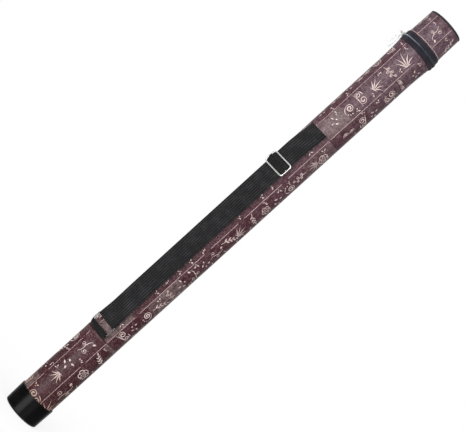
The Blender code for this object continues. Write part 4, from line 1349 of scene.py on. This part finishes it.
def make_strap(groups, cloth, shaded_webbing, bright, wear_and_shade):
    """The webbing, with the slide buckle and the ring. The ring's tab, the stretch over the buckle's bar and the
    end sleeve take a darker copy of the cloth, and the ring a darker copy of the plate: painted shade.
    """
    run = webbing("shoulder_strap_webbing", run_stations(), groups, cloth)
    dress(run, "case_body", "webbing", "shoulder_strap")
    # The tab, the stretch over the bar and the sleeve take the darker cloth, as painted shade
    tab = webbing("ring_tab_webbing", tab_stations(), groups, shaded_webbing)
    dress(tab, "case_body", "webbing", "ring_tab")
    hump = webbing("strap_over_bar_webbing", hump_stations(), groups, shaded_webbing, width=WEBBING_WIDTH + 1.0 * MM)
    dress(hump, "strap_slide", "webbing", "strap_over_bar")

    length = RETURN_TOP - RETURN_BOTTOM
    stations = [(RETURN_INNER, RETURN_TOP - length * i / 66, 0.0) for i in range(67)]
    back = webbing("strap_return_webbing", stations, groups, cloth, 4 * RIBS)
    dress(back, "case_body", "webbing", "strap_return_run")
    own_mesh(back)
    dress(make_sleeve(shaded_webbing), "strap_slide", "webbing", "strap_end_sleeve")

    half = WEBBING_WIDTH / 2 + BAR_PLAY
    frame = place_frame(STRAP_ANGLE, BUCKLE_PLANE, BUCKLE_HEIGHT)
    loop = wire_loop(2 * half, 20.6 * MM, 4.2 * MM, frame, BUCKLE_WIRE)
    frame = place_frame(STRAP_ANGLE, BAR_PLANE, BUCKLE_HEIGHT)
    bends = [(-x, z, thick) for x, z, thick in BAR_BENDS[::-1]] + list(BAR_BENDS)
    bar = [frame @ Vector((x * half, 0.0, z * MM)) for x, z, _ in bends]
    path = new_path("slide_buckle_wire", [loop, (bar, False, {"thick": [bend[2] * MM for bend in bends]})])
    buckle = apply_group(path, groups["wire"], Sides=24, Material=bright)
    dress(buckle, "strap_slide", "bright_metal", "slide_buckle")

    # The ring takes the darker plate, as painted shade
    frame = place_frame(STRAP_ANGLE + LEAN, RING_PLANE, (RING_LOW_BAR + RING_HIGH_BAR) / 2)
    width = 2 * (WEBBING_WIDTH / 2 + 0.35 * MM + RING_WIRE)
    loop = wire_loop(width, RING_HIGH_BAR - RING_LOW_BAR, 2.2 * MM, frame, RING_WIRE)
    ring = apply_group(new_path("strap_ring_wire", [loop]), groups["wire"], Sides=24, Material=wear_and_shade)
    dress(ring, "strap_ring", "bright_metal", "strap_ring")


def make_sleeve(cloth):
    """The strap's end, turned round the middle bar: a short woven tube along it."""
    frame = place_frame(STRAP_ANGLE, BAR_PLANE, BUCKLE_HEIGHT)
    half = (WEBBING_WIDTH + 0.9 * MM) / 2
    girth = 12.4 * MM
    sides = 32
    lengths = 24
    per_wall = (lengths + 1) * sides
    points = []
    for radius in (1.98 * MM, 1.32 * MM):
        for i in range(lengths + 1):
            x = half * (2 * i / lengths - 1)
            points += [frame @ Vector((x, *polar(radius, 360 * k / sides))) for k in range(sides)]
    faces = []
    uvs = []

    def band(first, second, u0, u1, pitch):
        for k in range(sides):
            m = (k + 1) % sides
            faces.append([first + k, first + m, second + m, second + k])
            v0, v1 = pitch * k, pitch * (k + 1)
            uvs.append([(u0, v0), (u0, v1), (u1, v1), (u1, v0)])

    for start in (0, per_wall):
        for i in range(lengths):
            at = start + i * sides
            band(at, at + sides, 2 * half * i / lengths, 2 * half * (i + 1) / lengths, girth / sides)
    for at in (0, lengths * sides):
        band(at, per_wall + at, 0.0, MM, MM)
    return face_out(new_piece("strap_end_sleeve_webbing", points, faces, cloth, uvs))


# ---- stitches


def stitch_shape(name, length, width):
    """One stitch: a short thread that dips into the cloth at both ends."""
    stations = 7
    sides = 8
    points = []
    for i in range(stations):
        share = 2 * i / (stations - 1) - 1
        x = length / 2 * share
        sink = -0.30 * width * share * share * 1.6
        size = width / 2 * math.sqrt(max(0.05, 1 - 0.85 * share**4))
        for k in range(sides):
            across, up = polar(size, 360 * k / sides)
            points.append((x, across + 0.06 * x, sink + 0.75 * up))
    last = (stations - 1) * sides
    ring = list(range(sides))
    turned = ring[1:] + ring[:1]
    pairs = [(i + k, i + m) for i in range(0, last, sides) for k, m in zip(ring, turned)]
    faces = [[a, a + sides, b + sides, b] for a, b in pairs]
    faces += [ring, [last + k for k in ring][::-1]]
    return face_out(new_piece(name, points, faces))


def make_stitches(groups, threads):
    """Rows of stitches: the hems of the covers, the lid's end, and both edges of the zip band."""
    hem_stitch = stitch_shape("hem_stitch", 2.3 * MM, 0.52 * MM), 3.0 * MM
    band_stitch = stitch_shape("band_stitch", 1.9 * MM, 0.42 * MM), 2.5 * MM
    whole = (0.0, 360.0)
    rows = []
    for name, cover_radius, row, thread, body in (
        ("lower_hem", lower_cover_radius, LOWER_HEM_ROW, "pale", "case_body"),
        ("upper_hem", upper_cover_radius, UPPER_HEM_ROW, "dark", "case_body"),
        ("lid_end", lid_cover_radius, LID_HEM_ROW, "dark", "lid"),
    ):

        def on_cover(angle, cover_radius=cover_radius, row=row):
            return cover_radius(angle, row) + 0.04 * MM

        slot = "zip_tape" if body == "lid" else "cover_leather_low"
        rows.append((name, on_cover, row, whole, hem_stitch, thread, body, slot))
    for side, half, body in SIDES:
        height = PARTING + side * BAND_ROW

        def on_tape(angle, height=height, side=side):
            return 32.24 * MM + tape_bulge(angle, height, side)

        ends = HINGE_END + 2.2, HINGE_START + 360 - 2.2
        rows.append((f"zip_tape_{half}", on_tape, height, ends, band_stitch, "black", body, "zip_tape"))
        ends = HINGE_START + 1.5, HINGE_END - 1.5
        slot = "zip_tape" if body == "lid" else "cover_leather_low"
        rows.append((f"hinge_{half}", 32.66 * MM, height, ends, band_stitch, "dark", body, slot))
    for name, radius, height, ends, (shape, pitch), thread, body, slot in rows:
        path = arc_path(name + "_stitches", radius, height, *ends)
        piece = apply_group(path, groups["row"], Shape=shape, Spacing=pitch, Material=threads[thread])
        dress(piece, body, slot)

    frame = place_frame(STRAP_ANGLE, 0.0, 0.0)
    out = frame.to_3x3() @ Vector((0, 0, 1))
    chains = []
    for height in (200.2 * MM, 203.4 * MM):
        face = run_bend_radius((RING_HIGH_BAR + RUN_BEND - height) / RUN_BEND) + WEBBING - 0.02 * MM
        chain = [lean(height) @ frame @ Vector((x * MM, height, face)) for x in range(-15, 16)]
        chains.append((chain, False, {"lift": [out] * len(chain)}))
    path = new_path("strap_end_stitches", chains)
    values = {"Shape": band_stitch[0], "Spacing": 2.4 * MM, "Material": threads["black"]}
    dress(apply_group(path, groups["row"], **values), "case_body", "webbing")
    for shape, _ in (hem_stitch, band_stitch):
        bpy.data.objects.remove(shape)


# ---- the print: sprigs, scrolls, blossoms and waves between fine rules


def brush(points, widths):
    """One flat stroke along points: its sides slope down into the leather, and the widths round its ends."""
    half = ((0.85, 0.07, 0.0), (1.15, 0.03, 1.0), (1.90, 0.02, 1.0), (2.05, -0.06, 1.0))
    ring = [(-share, rise, edge) for share, rise, edge in half[::-1]] + list(half)
    count = len(ring)
    verts = []
    faces = []
    for i, (point, width) in enumerate(zip(points, widths)):
        before = Vector(points[max(0, i - 1)])
        after = Vector(points[min(len(points) - 1, i + 1)])
        heading = (after - before).normalized()
        side = Vector((-heading.y, heading.x))
        for share, rise, _ in ring:
            verts.append((*(Vector(point) - side * (share * width / 2)), rise))
        if i:
            a = (i - 1) * count
            for k in range(count):
                m = (k + 1) % count
                faces.append((a + k, a + m, a + count + m, a + count + k))
    last = (len(points) - 1) * count
    faces += [tuple(range(count))[::-1], tuple(range(last, last + count))]
    return verts, faces, [edge for _, _, edge in ring] * len(points)


def tapered(points, width, start=0.35, end=0.2, belly=0.5):
    """A brush stroke along points that swells towards its belly."""
    widths = []
    for i in range(len(points)):
        share = i / (len(points) - 1)
        if share < belly:
            widths.append(width * (start + (1 - start) * ease(share / belly)))
        else:
            widths.append(width * (end + (1 - end) * ease((1 - share) / (1 - belly))))
    return points, widths


def bent(start, turn, length, curl, steps=9):
    """Points along a line that sets off from start at an angle and curls by so many degrees."""
    points = [start]
    for i in range(steps):
        x, y = polar(length / steps, turn + curl * (i + 0.5) / steps)
        points.append((points[-1][0] + x, points[-1][1] + y))
    return points


def spiral(centre, outer, inner, start, turns, steps=22):
    shares = [i / steps for i in range(steps + 1)]
    return [polar(outer + (inner - outer) * s, start + 360 * turns * s, *centre) for s in shares]


def leaf(start, turn, length, width, curl=14):
    swell = [0.06 + 0.94 * math.sin(math.pi * (i / 12) ** 0.85) for i in range(13)]
    return bent(start, turn, length, curl, 12), [width * share for share in swell]


def sprig_strokes():
    """A curved twig with paired leaves."""
    twig = bent((-1.5, -10.0), 98, 19.5, -34, 12)
    strokes = [tapered(twig, 0.7, 0.9, 0.5)]
    leaves = ((3, 1, 5.4), (4, -1, 5.8), (6, 1, 5.0), (7, -1, 5.2), (9, 1, 4.2), (10, -1, 4.2), (12, 1, 4.4))
    for index, side, length in leaves:
        (x, y), (x_before, y_before) = twig[index], twig[index - 1]
        heading = math.degrees(math.atan2(y - y_before, x - x_before))
        turn = heading + side * 48 if index < 12 else heading
        strokes.append(leaf(twig[index], turn, length, 1.7, -16 * side))
    return strokes


def scroll_strokes():
    """A cloud scroll: two curls over a long base."""
    return [
        tapered(spiral((-3.6, 0.6), 4.1, 0.9, 250, -1.45), 1.15, 0.4, 0.9, 0.8),
        tapered(spiral((3.9, -0.2), 3.3, 0.8, 300, 1.4), 1.05, 0.4, 0.9, 0.8),
        tapered(bent((-8.6, -4.6), 18, 17.0, -30, 10), 1.1, 0.2, 0.15),
        tapered(bent((1.2, 4.4), 10, 6.0, -50, 6), 0.9, 0.6, 0.15),
    ]


def blossom_strokes():
    """Five open petals with stamens."""
    strokes = []
    for petal in range(5):
        centre = 90 + 72 * petal
        loop = []
        for share in (i / 12 for i in range(13)):
            swing = 31 * math.sin(2 * math.pi * share)
            loop.append(polar(1.4 + 4.4 * math.sin(math.pi * share) ** 0.8, centre + swing))
        strokes.append(tapered(loop, 0.85, 0.6, 0.6))
        strokes.append(tapered(bent(polar(0.5, centre), centre + 8, 2.3, 14, 4), 0.42, 0.6, 1.0, 0.9))
    return strokes


def wave_strokes():
    """Three nested crests, twice."""
    crests = [(x, y, radius) for x, y in ((-4.4, 0.0), (4.4, -1.8)) for radius in (4.3, 2.9, 1.5)]
    turns = np.linspace(168, 12, 12)
    arcs = [[polar(radius, turn, x, y - 1.5) for turn in turns] for x, y, radius in crests]
    return [tapered(arc, 0.8, 0.35, 0.35) for arc in arcs]


def tendril_strokes():
    """A climbing tendril with three curls and a bud."""
    stem = bent((-2.0, -9.0), 62, 12.0, 58, 8) + bent((-0.6, 2.2), 118, 9.5, -84, 8)[1:]
    return [
        tapered(stem, 0.85, 0.5, 0.5),
        tapered(spiral((3.4, -3.0), 2.9, 0.6, 215, 1.3, 16), 0.75, 0.4, 1.0, 0.9),
        tapered(spiral((-4.6, 1.8), 2.5, 0.6, -40, -1.3, 16), 0.75, 0.4, 1.0, 0.9),
        leaf((2.6, 8.6), 40, 4.2, 2.2, 20),
    ]


def berry_strokes():
    """Berries on short stalks."""
    stem = bent((0.0, -7.0), 80, 12.5, 20, 8)
    strokes = [tapered(stem, 0.6, 0.8, 0.4)]
    for index, side in ((2, 1), (3, -1), (5, 1), (6, -1), (8, 1)):
        stalk = bent(stem[index], 86 - side * 58, 2.6, side * 20, 3)
        strokes.append(tapered(stalk, 0.45, 0.8, 0.8))
        turns = np.degrees(np.linspace(0.4, 6.2, 9))
        strokes.append(tapered([polar(0.95, a, *stalk[-1]) for a in turns], 0.6, 0.8, 0.8))
    return strokes


def drift_strokes():
    """Loose petals blown across."""
    petals = ((-4.0, -1.0, 30, 3.6), (0.2, 2.2, 62, 3.0), (3.2, -1.6, -12, 3.4), (-0.6, -4.0, 12, 2.4))
    return [leaf((x, y), turn, size, 1.5, 34) for x, y, turn, size in petals]


def reed_strokes():
    """Reeds fanned out of one foot, two of them bent by the wind."""
    straight = (-1.6, 118, 9.5, 26), (-0.8, 102, 12.5, 16), (0.0, 88, 14.0, -10)
    windblown = (0.9, 74, 12.0, -44), (1.7, 58, 9.0, -70)
    blades = [bent((x, -6.5), turn, length, curl) for x, turn, length, curl in straight + windblown]
    ground = bent((-5.2, -6.6), -6, 10.6, 12, 6)
    return [tapered(blade, 1.0, 0.5, 0.1, 0.35) for blade in blades] + [tapered(ground, 0.7, 0.2, 0.2)]


def curl_strokes():
    """One large curl with a trailing ribbon and three dots."""
    dots = [bent(spot, 50, 1.2, 0, 3) for spot in ((5.2, -2.6), (6.4, -0.4), (5.9, 2.2))]
    return [
        tapered(spiral((0.0, 2.0), 4.4, 0.7, 235, -1.75, 26), 1.25, 0.4, 0.8, 0.7),
        tapered(bent((-2.4, -1.6), -58, 9.5, 96, 10), 1.0, 0.5, 0.1, 0.4),
        *((dot, [0.5, 1.1, 1.1, 0.5]) for dot in dots),
    ]


def petal_mark():
    """A small filler: two petals and a dot."""
    petals = [leaf((-0.8, -0.6), 125, 2.6, 1.2, 20), leaf((0.6, -0.6), 55, 2.6, 1.2, -20)]
    return petals + [(bent((0.0, -2.2), 90, 0.9, 0, 3), [0.4, 0.8, 0.8, 0.4])]


def tick_mark():
    """A small filler: three short brush ticks."""
    ticks = (-1.8, 0.0, 60), (0.0, -0.5, 75), (1.7, 0.2, 50)
    return [leaf((x, y), turn, 2.2, 0.9, 10) for x, y, turn in ticks]


MOTIFS = (
    sprig_strokes,
    scroll_strokes,
    blossom_strokes,
    wave_strokes,
    tendril_strokes,
    berry_strokes,
    drift_strokes,
    reed_strokes,
    curl_strokes,
)
FILLERS = (petal_mark, tick_mark)
MOTIF_SCALE = 1.45
MOTIF_TRIES = 16
MOTIF_ROOM = 2.6 * MM
MOTIF_MARGIN = 6.0 * MM
COLUMNS = 6
COLUMN_WIDTH = COVER * 2 * math.pi / COLUMNS
FIRST_RULE = math.radians(LINE_ANGLE) * COVER
RULE_WIDTH = 0.6
BRUSH_WIDTH = 1.15
PRINT_REACH = 45 * MM
SHARP_BEND = math.radians(14)


def rounded(points, widths):
    """The same stroke with a point more in each bend, on a smooth curve through its points."""
    curved = []
    swelling = []
    last = len(points) - 1
    for i in range(last):
        before, start, stop, after = (Vector(points[max(0, min(k, last))]) for k in range(i - 1, i + 3))
        curved.append(start)
        swelling.append(widths[i])
        bend = (start - before).angle(stop - start, 0.0) + (stop - start).angle(after - stop, 0.0)
        if bend > SHARP_BEND:
            curved.append((start + stop) * 9 / 16 - (before + after) / 16)
            swelling.append((widths[i] + widths[i + 1]) / 2)
    return curved + [Vector(points[-1])], swelling + [widths[-1]]


def stroke_object(name, strokes, scale=1.0):
    """Brush strokes as one piece, from lengths in mm."""
    verts = []
    faces = []
    edges = []
    for stroke in strokes:
        new_verts, new_faces, new_edges = brush(*rounded(*stroke))
        first = len(verts)
        verts += [(x * scale * MM, y * scale * MM, z * MM) for x, y, z in new_verts]
        faces += [tuple(first + v for v in face) for face in new_faces]
        edges += new_edges
    piece = new_piece(name, verts, faces)
    add_column(piece.data, "edge", np.array(edges, np.float32))
    return piece


def motif_shapes():
    """Every motif and filler as it is, and then mirrored."""
    shapes = [(strokes(), side) for side in (1, -1) for strokes in MOTIFS + FILLERS]
    return [
        [([(x * side, y) for x, y in points], widths) for points, widths in strokes]
        for strokes, side in shapes
    ]


def motif_collection():
    """The motifs as pieces to copy, which are removed once the print is laid."""
    collection = bpy.data.collections.new("motifs")
    bpy.context.scene.collection.children.link(collection)
    for index, strokes in enumerate(motif_shapes()):
        brushed = [(points, [width * BRUSH_WIDTH for width in widths]) for points, widths in strokes]
        piece = stroke_object(f"motif_{index:02d}", brushed, MOTIF_SCALE)
        bpy.context.scene.collection.objects.unlink(piece)
        collection.objects.link(piece)
    return collection


def rule_lines(name, low, high, rng, broken):
    """Fine rules down the tube between its columns of motifs. Unbroken ones have one rule round the tube too."""
    strokes = []
    for column in range(COLUMNS):
        x = (FIRST_RULE + COLUMN_WIDTH * column) % (COLUMNS * COLUMN_WIDTH) / MM
        at = low / MM
        while at < high / MM - 4:
            length = rng.uniform(46, 120) if broken else high / MM - at
            stop = min(at + length, high / MM)
            count = max(3, round((stop - at) / 6))
            drift = rng.uniform(-0.25, 0.25)
            steps = range(count + 1)
            strokes.append([(x + drift * math.sin(0.05 * k), at + (stop - at) * k / count) for k in steps])
            at = stop + rng.uniform(1.5, 13)
    if not broken:
        strokes.append([(COLUMNS * COLUMN_WIDTH / MM * k / 120, low / MM) for k in range(121)])
    return stroke_object(name, [(points, [RULE_WIDTH] * len(points)) for points in strokes])


def strap_hides(x, y, reach):
    """Whether a motif at arc x and height y lies wholly under the strap."""
    hidden = math.degrees((WEBBING_WIDTH / 2 - reach) / COVER)
    return abs(away(math.degrees(x / COVER), STRAP_ANGLE)) < hidden and RING_LOW_BAR < y < UPPER_SEAM


def print_points(name, low, high, rng, pitch, share):
    """Where the motifs of one cover section go: a staggered row in each column, turned and sized at random, clear
    of the rules and of each other, with share as their usual size."""
    shapes = [
        np.array([spot for points, _ in strokes for spot in points]) * MOTIF_SCALE * MM
        for strokes in motif_shapes()
    ]
    found = []
    rows = max(1, round((high - low) / pitch))
    step = (high - low) / rows
    for column in range(COLUMNS):
        middle = (column + 0.5) * COLUMN_WIDTH
        neighbours = []
        last_kind = -1
        for row in range(rows):
            kind = rng.randrange(len(MOTIFS))
            if kind == last_kind:
                kind = (kind + 2) % len(MOTIFS)
            last_kind = kind
            shift = rng.uniform(-0.13, 0.13)
            # The motif itself, and a small filler across from it
            filler = len(MOTIFS) + rng.randrange(len(FILLERS))
            for index, off, rise in ((kind, shift, 0.5), (filler, 0.32 if shift < 0 else -0.32, 0.9)):
                for attempt in range(MOTIF_TRIES):
                    at = low + step * (row + rise + rng.uniform(-0.14, 0.14))
                    x = middle + off * COLUMN_WIDTH + rng.uniform(-0.02, 0.02) * attempt * COLUMN_WIDTH
                    turn = rng.choice((0.0, 0.0, math.pi / 2, math.pi, -math.pi / 2)) + rng.uniform(-0.4, 0.4)
                    size = rng.uniform(0.84, 1.16) * share * (1 - 0.025 * attempt)
                    mirrored = index + rng.randrange(2) * (len(MOTIFS) + len(FILLERS))
                    c, s = math.cos(turn), math.sin(turn)
                    spots = (shapes[mirrored] * size) @ np.array(((c, s), (-s, c))) + (x, at)
                    inside = np.abs(spots[:, 0] - middle).max() < COLUMN_WIDTH / 2 - MOTIF_ROOM / 2
                    level = low - MOTIF_MARGIN < spots[:, 1].min() and spots[:, 1].max() < high + MOTIF_MARGIN
                    gaps = [np.hypot(*(spots[:, None] - other).T).min() for other in neighbours[-5:]]
                    if inside and level and min(gaps, default=1.0) > MOTIF_ROOM:
                        neighbours.append(spots)
                        x = (FIRST_RULE + x) % (COLUMNS * COLUMN_WIDTH)
                        if not strap_hides(x, at, 4 * MM):
                            found.append(((x, at, 0.0), turn, size, mirrored))
                        break
    points, turns, sizes, kinds = zip(*found)
    mesh = bpy.data.meshes.new(name)
    mesh.from_pydata(points, [], [])
    for key, kind, column in (("turn", "FLOAT", turns), ("size", "FLOAT", sizes), ("motif", "INT", kinds)):
        add_column(mesh, key, column, kind)
    return in_scene(name, mesh)


def make_print(groups, covers, ink):
    """Motifs and rules on each cover section, laid on its own surface."""
    rng = random.Random(2208)
    motifs = motif_collection()
    edge = 1.2 * MM
    # Section, body, slot, its ends, the plain margins there in mm, the motifs' pitch in mm and their size
    sections = (
        ("cover_lower", "case_body", "cover_leather_low", COVER_BOTTOM, LOWER_SEAM, 16, 11, 30, 1.0),
        ("cover_middle", "case_body", "cover_leather_mid", LOWER_SEAM, UPPER_SEAM, 11, 11, 24, 1.0),
        ("cover_upper", "case_body", "cover_leather_high", UPPER_SEAM, PARTING, 12, 17, 26, 1.0),
        ("lid_cover", "lid", "cover_leather_high", PARTING, LID_COVER_TOP, 22, 12, 26, 0.84),
    )
    for cover, (name, body, slot, low, high, below, above, pitch, share) in zip(covers, sections):
        heights = [v.co.z for v in cover.data.vertices]
        line_low = PARTING + BAND_HALF + 1.6 * MM if body == "lid" else min(heights) + edge
        line_high = PARTING - BAND_HALF - edge if high == PARTING else max(heights) - edge
        name += "_print"
        points = print_points(name, low + below * MM, high - above * MM, rng, pitch * MM, share)
        lines = rule_lines(name + "_lines", line_low, line_high, rng, body == "case_body")
        values = {"Motifs": motifs, "Lines": lines, "Cover": cover, "Radius": COVER, "Reach": PRINT_REACH}
        piece = apply_group(points, groups["print"], **values, Material=ink)
        bpy.data.objects.remove(lines)
        dress(piece, body, slot)
    for piece in list(motifs.objects):
        bpy.data.objects.remove(piece)
    bpy.data.collections.remove(motifs)


# ---- studio


# How bright the white room is as light, and how bright its walls are in reflections at the case's own level,
# where a studio hangs dark cloths so that black plastic stays black. White is 1.
FILL_LIGHT = 0.28
MIRRORED_LEVEL = 0.14
SHADOW_REACH = 0.55
# Softboxes: name, azimuth from the camera, height, aim height, distance, width, length, brightness
SOFTBOXES = (
    ("key_softbox", -22.5, 0.6, 0.6, 3.0, 2.0, 3.2, 3.3),
    ("upper_softbox", 0.0, 2.9, 0.5, 1.6, 3.6, 2.6, 1.1),
    ("right_softbox", 24.0, 0.6, 0.6, 3.0, 1.6, 3.2, 0.6),
    ("left_softbox", -95.0, 0.8, 0.8, 3.0, 1.4, 2.4, 0.15),
    ("back_softbox", 180.0, 1.0, 1.0, 3.2, 7.0, 4.0, 0.4),
)
CAMERA_ROLL = math.radians(42.26)
CAMERA_AWAY = 2.03
CAMERA_HEIGHT = 0.43
CAMERA_LENS = 105.06


def fresh_tree(owner):
    owner.use_nodes = True
    owner.node_tree.nodes.clear()
    return Sketch(owner.node_tree)


def make_stage():
    """A white floor that keeps the case's soft shadow, and white surroundings. The floor stays out of
    reflections, so that the foot cap shows the room as the rest of the tube does."""
    material = bpy.data.materials.new("studio_floor")
    sketch = fresh_tree(material)
    x, y, _ = sketch.place().split()
    apart = (x * x + y * y).maths("SQRT")
    seen = sketch.get("ShaderNodeLightPath", out="Is Camera Ray")
    glow = seen * apart.spread(0.05, SHADOW_REACH, 0.7, 1.0)
    paper = sketch.get("ShaderNodeBsdfDiffuse", colour(243, 243, 243))
    white = sketch.get("ShaderNodeEmission", (1, 1, 1, 1), apart.spread(0.05, SHADOW_REACH, 1.15, 1.0))
    sketch.add("ShaderNodeOutputMaterial", sketch.get("ShaderNodeMixShader", glow, paper, white))
    half = 8.0
    corners = [(x * half, y * half, -0.2 * MM) for x, y in ((-1, -1), (1, -1), (1, 1), (-1, 1))]
    floor = new_piece("studio_floor", corners, [(0, 1, 2, 3)], material)
    floor.visible_glossy = False
    floor.visible_shadow = False

    world = bpy.data.worlds.new("studio")
    sketch = fresh_tree(world)
    bpy.context.scene.world = world
    rays = sketch.add("ShaderNodeLightPath").outputs
    kinds = "Camera", "Transmission", "Glossy"
    camera, through, mirror = (Value(sketch, rays[f"Is {kind} Ray"]) for kind in kinds)
    straight = camera.maths("MAXIMUM", through)
    level = abs(sketch.place().split()[2])
    seen = straight.maths("MAXIMUM", mirror * level.spread(0.28, 0.5, MIRRORED_LEVEL, 1.0))
    lighting = (1.0 - straight.maths("MAXIMUM", mirror)) * FILL_LIGHT
    sketch.add("ShaderNodeOutputWorld", sketch.get("ShaderNodeBackground", (1, 1, 1, 1), seen + lighting))


def make_lights():
    for name, azimuth, height, aim, distance, width, length, brightness in SOFTBOXES:
        lamp = bpy.data.lights.new(name, "AREA")
        lamp.shape = "RECTANGLE"
        lamp.size = width
        lamp.size_y = length
        lamp.energy = brightness * math.pi * width * length
        light = in_scene(name, lamp)
        light.location = (*polar(distance, azimuth - 90.0), height)
        towards = Vector((0.0, 0.0, aim)) - light.location
        light.rotation_euler = towards.to_track_quat("-Z", "Y").to_euler()
        light.visible_camera = False


def make_camera():
    """The photograph lays the tube along the picture's diagonal, so the camera is rolled."""
    right = Vector((math.sin(CAMERA_ROLL), 0, math.cos(CAMERA_ROLL)))
    up = Vector((-math.cos(CAMERA_ROLL), 0, math.sin(CAMERA_ROLL)))
    back = Vector((0, -1, 0))
    level = Vector((0, 0, CAMERA_HEIGHT))
    matrix = Matrix((right, up, back)).transposed().to_4x4()
    matrix.translation = level + back * CAMERA_AWAY - right * 1.19 * MM + up * 4.43 * MM
    data = bpy.data.cameras.new("camera")
    data.sensor_width = 36.0
    data.lens = CAMERA_LENS
    camera = in_scene("camera", data)
    camera.matrix_world = matrix
    bpy.context.scene.camera = camera


def main():
    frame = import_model()
    bpy.context.scene.view_settings.view_transform = "Standard"

    groups = {"row": row_group(), "wire": wire_group(), "ribs": rib_group(), "print": print_group()}
    leather = {name: cover_leather(name) for name in PANEL_SHIFTS}
    rib = WEBBING_WIDTH / RIBS
    strap_cloth = woven_cloth("strap_webbing", (8, 8, 9), (51, 51, 53), (104, 104, 107), 0.75 * MM, rib=rib)
    # A darker copy of the strap's cloth: painted shade for the ring's tab, the stretch over the buckle's bar and
    # the end sleeve
    shaded_webbing = woven_cloth("strap_webbing_folds", (8, 8, 9), (36, 36, 38), (72, 72, 74), 0.75 * MM, rib=rib)
    tape_tones = (24, 22, 28), (42, 39, 47), (74, 73, 84)
    tape_cloth = woven_cloth("zip_tape_cloth", *tape_tones, 0.42 * MM, 0.8, 0.35, 0.10 * MM)
    metal = plated_metal("zip_plated_metal", (205, 204, 203), 0.22, 0.36)
    bright = plated_metal("bright_plated_wire", (248, 247, 245), 0.16, 0.26)
    # A darker copy of the bright plate: painted shade for the dim reflections in the ring's wire
    wear_and_shade = plated_metal("worn_plated_wire", (132, 127, 127), 0.16, 0.28)
    polished = plated_metal("satin_plate", (236, 234, 234), 0.30, 0.42, 0.5)
    lining = velvet("lining_velvet", (34, 32, 34), (66, 63, 66))
    foam = velvet("foam_pad_cover", (38, 37, 39), (74, 72, 75))
    board = tube_board()

    covers = make_covers(leather)
    covers += (make_lid(leather["cover_leather_high"]),)
    make_piping(piping_leather())
    make_foot_cap(moulded_plastic())
    make_inside(lining, foam)
    make_tapes(tape_cloth)
    make_coils(groups, nylon_coil())
    make_stops(metal)
    make_hinge(leather["cover_leather_high"])
    make_slider(groups, metal, polished)
    make_strap(groups, strap_cloth, shaded_webbing, bright, wear_and_shade)
    tones = (("pale", "hem", (104, 76, 80)), ("dark", "lid", (52, 30, 36)), ("black", "band", (24, 24, 28)))
    make_stitches(groups, {key: sewing_thread(f"{name}_thread", tone) for key, name, tone in tones})
    make_print(groups, covers, printed_ink())

    for node in ("rigid_tube", "lid_tube", "lid_board"):
        mesh = frame["nodes"][node].data
        mesh.materials.clear()
        mesh.materials.append(board)

    make_stage()
    make_lights()
    make_camera()


main()
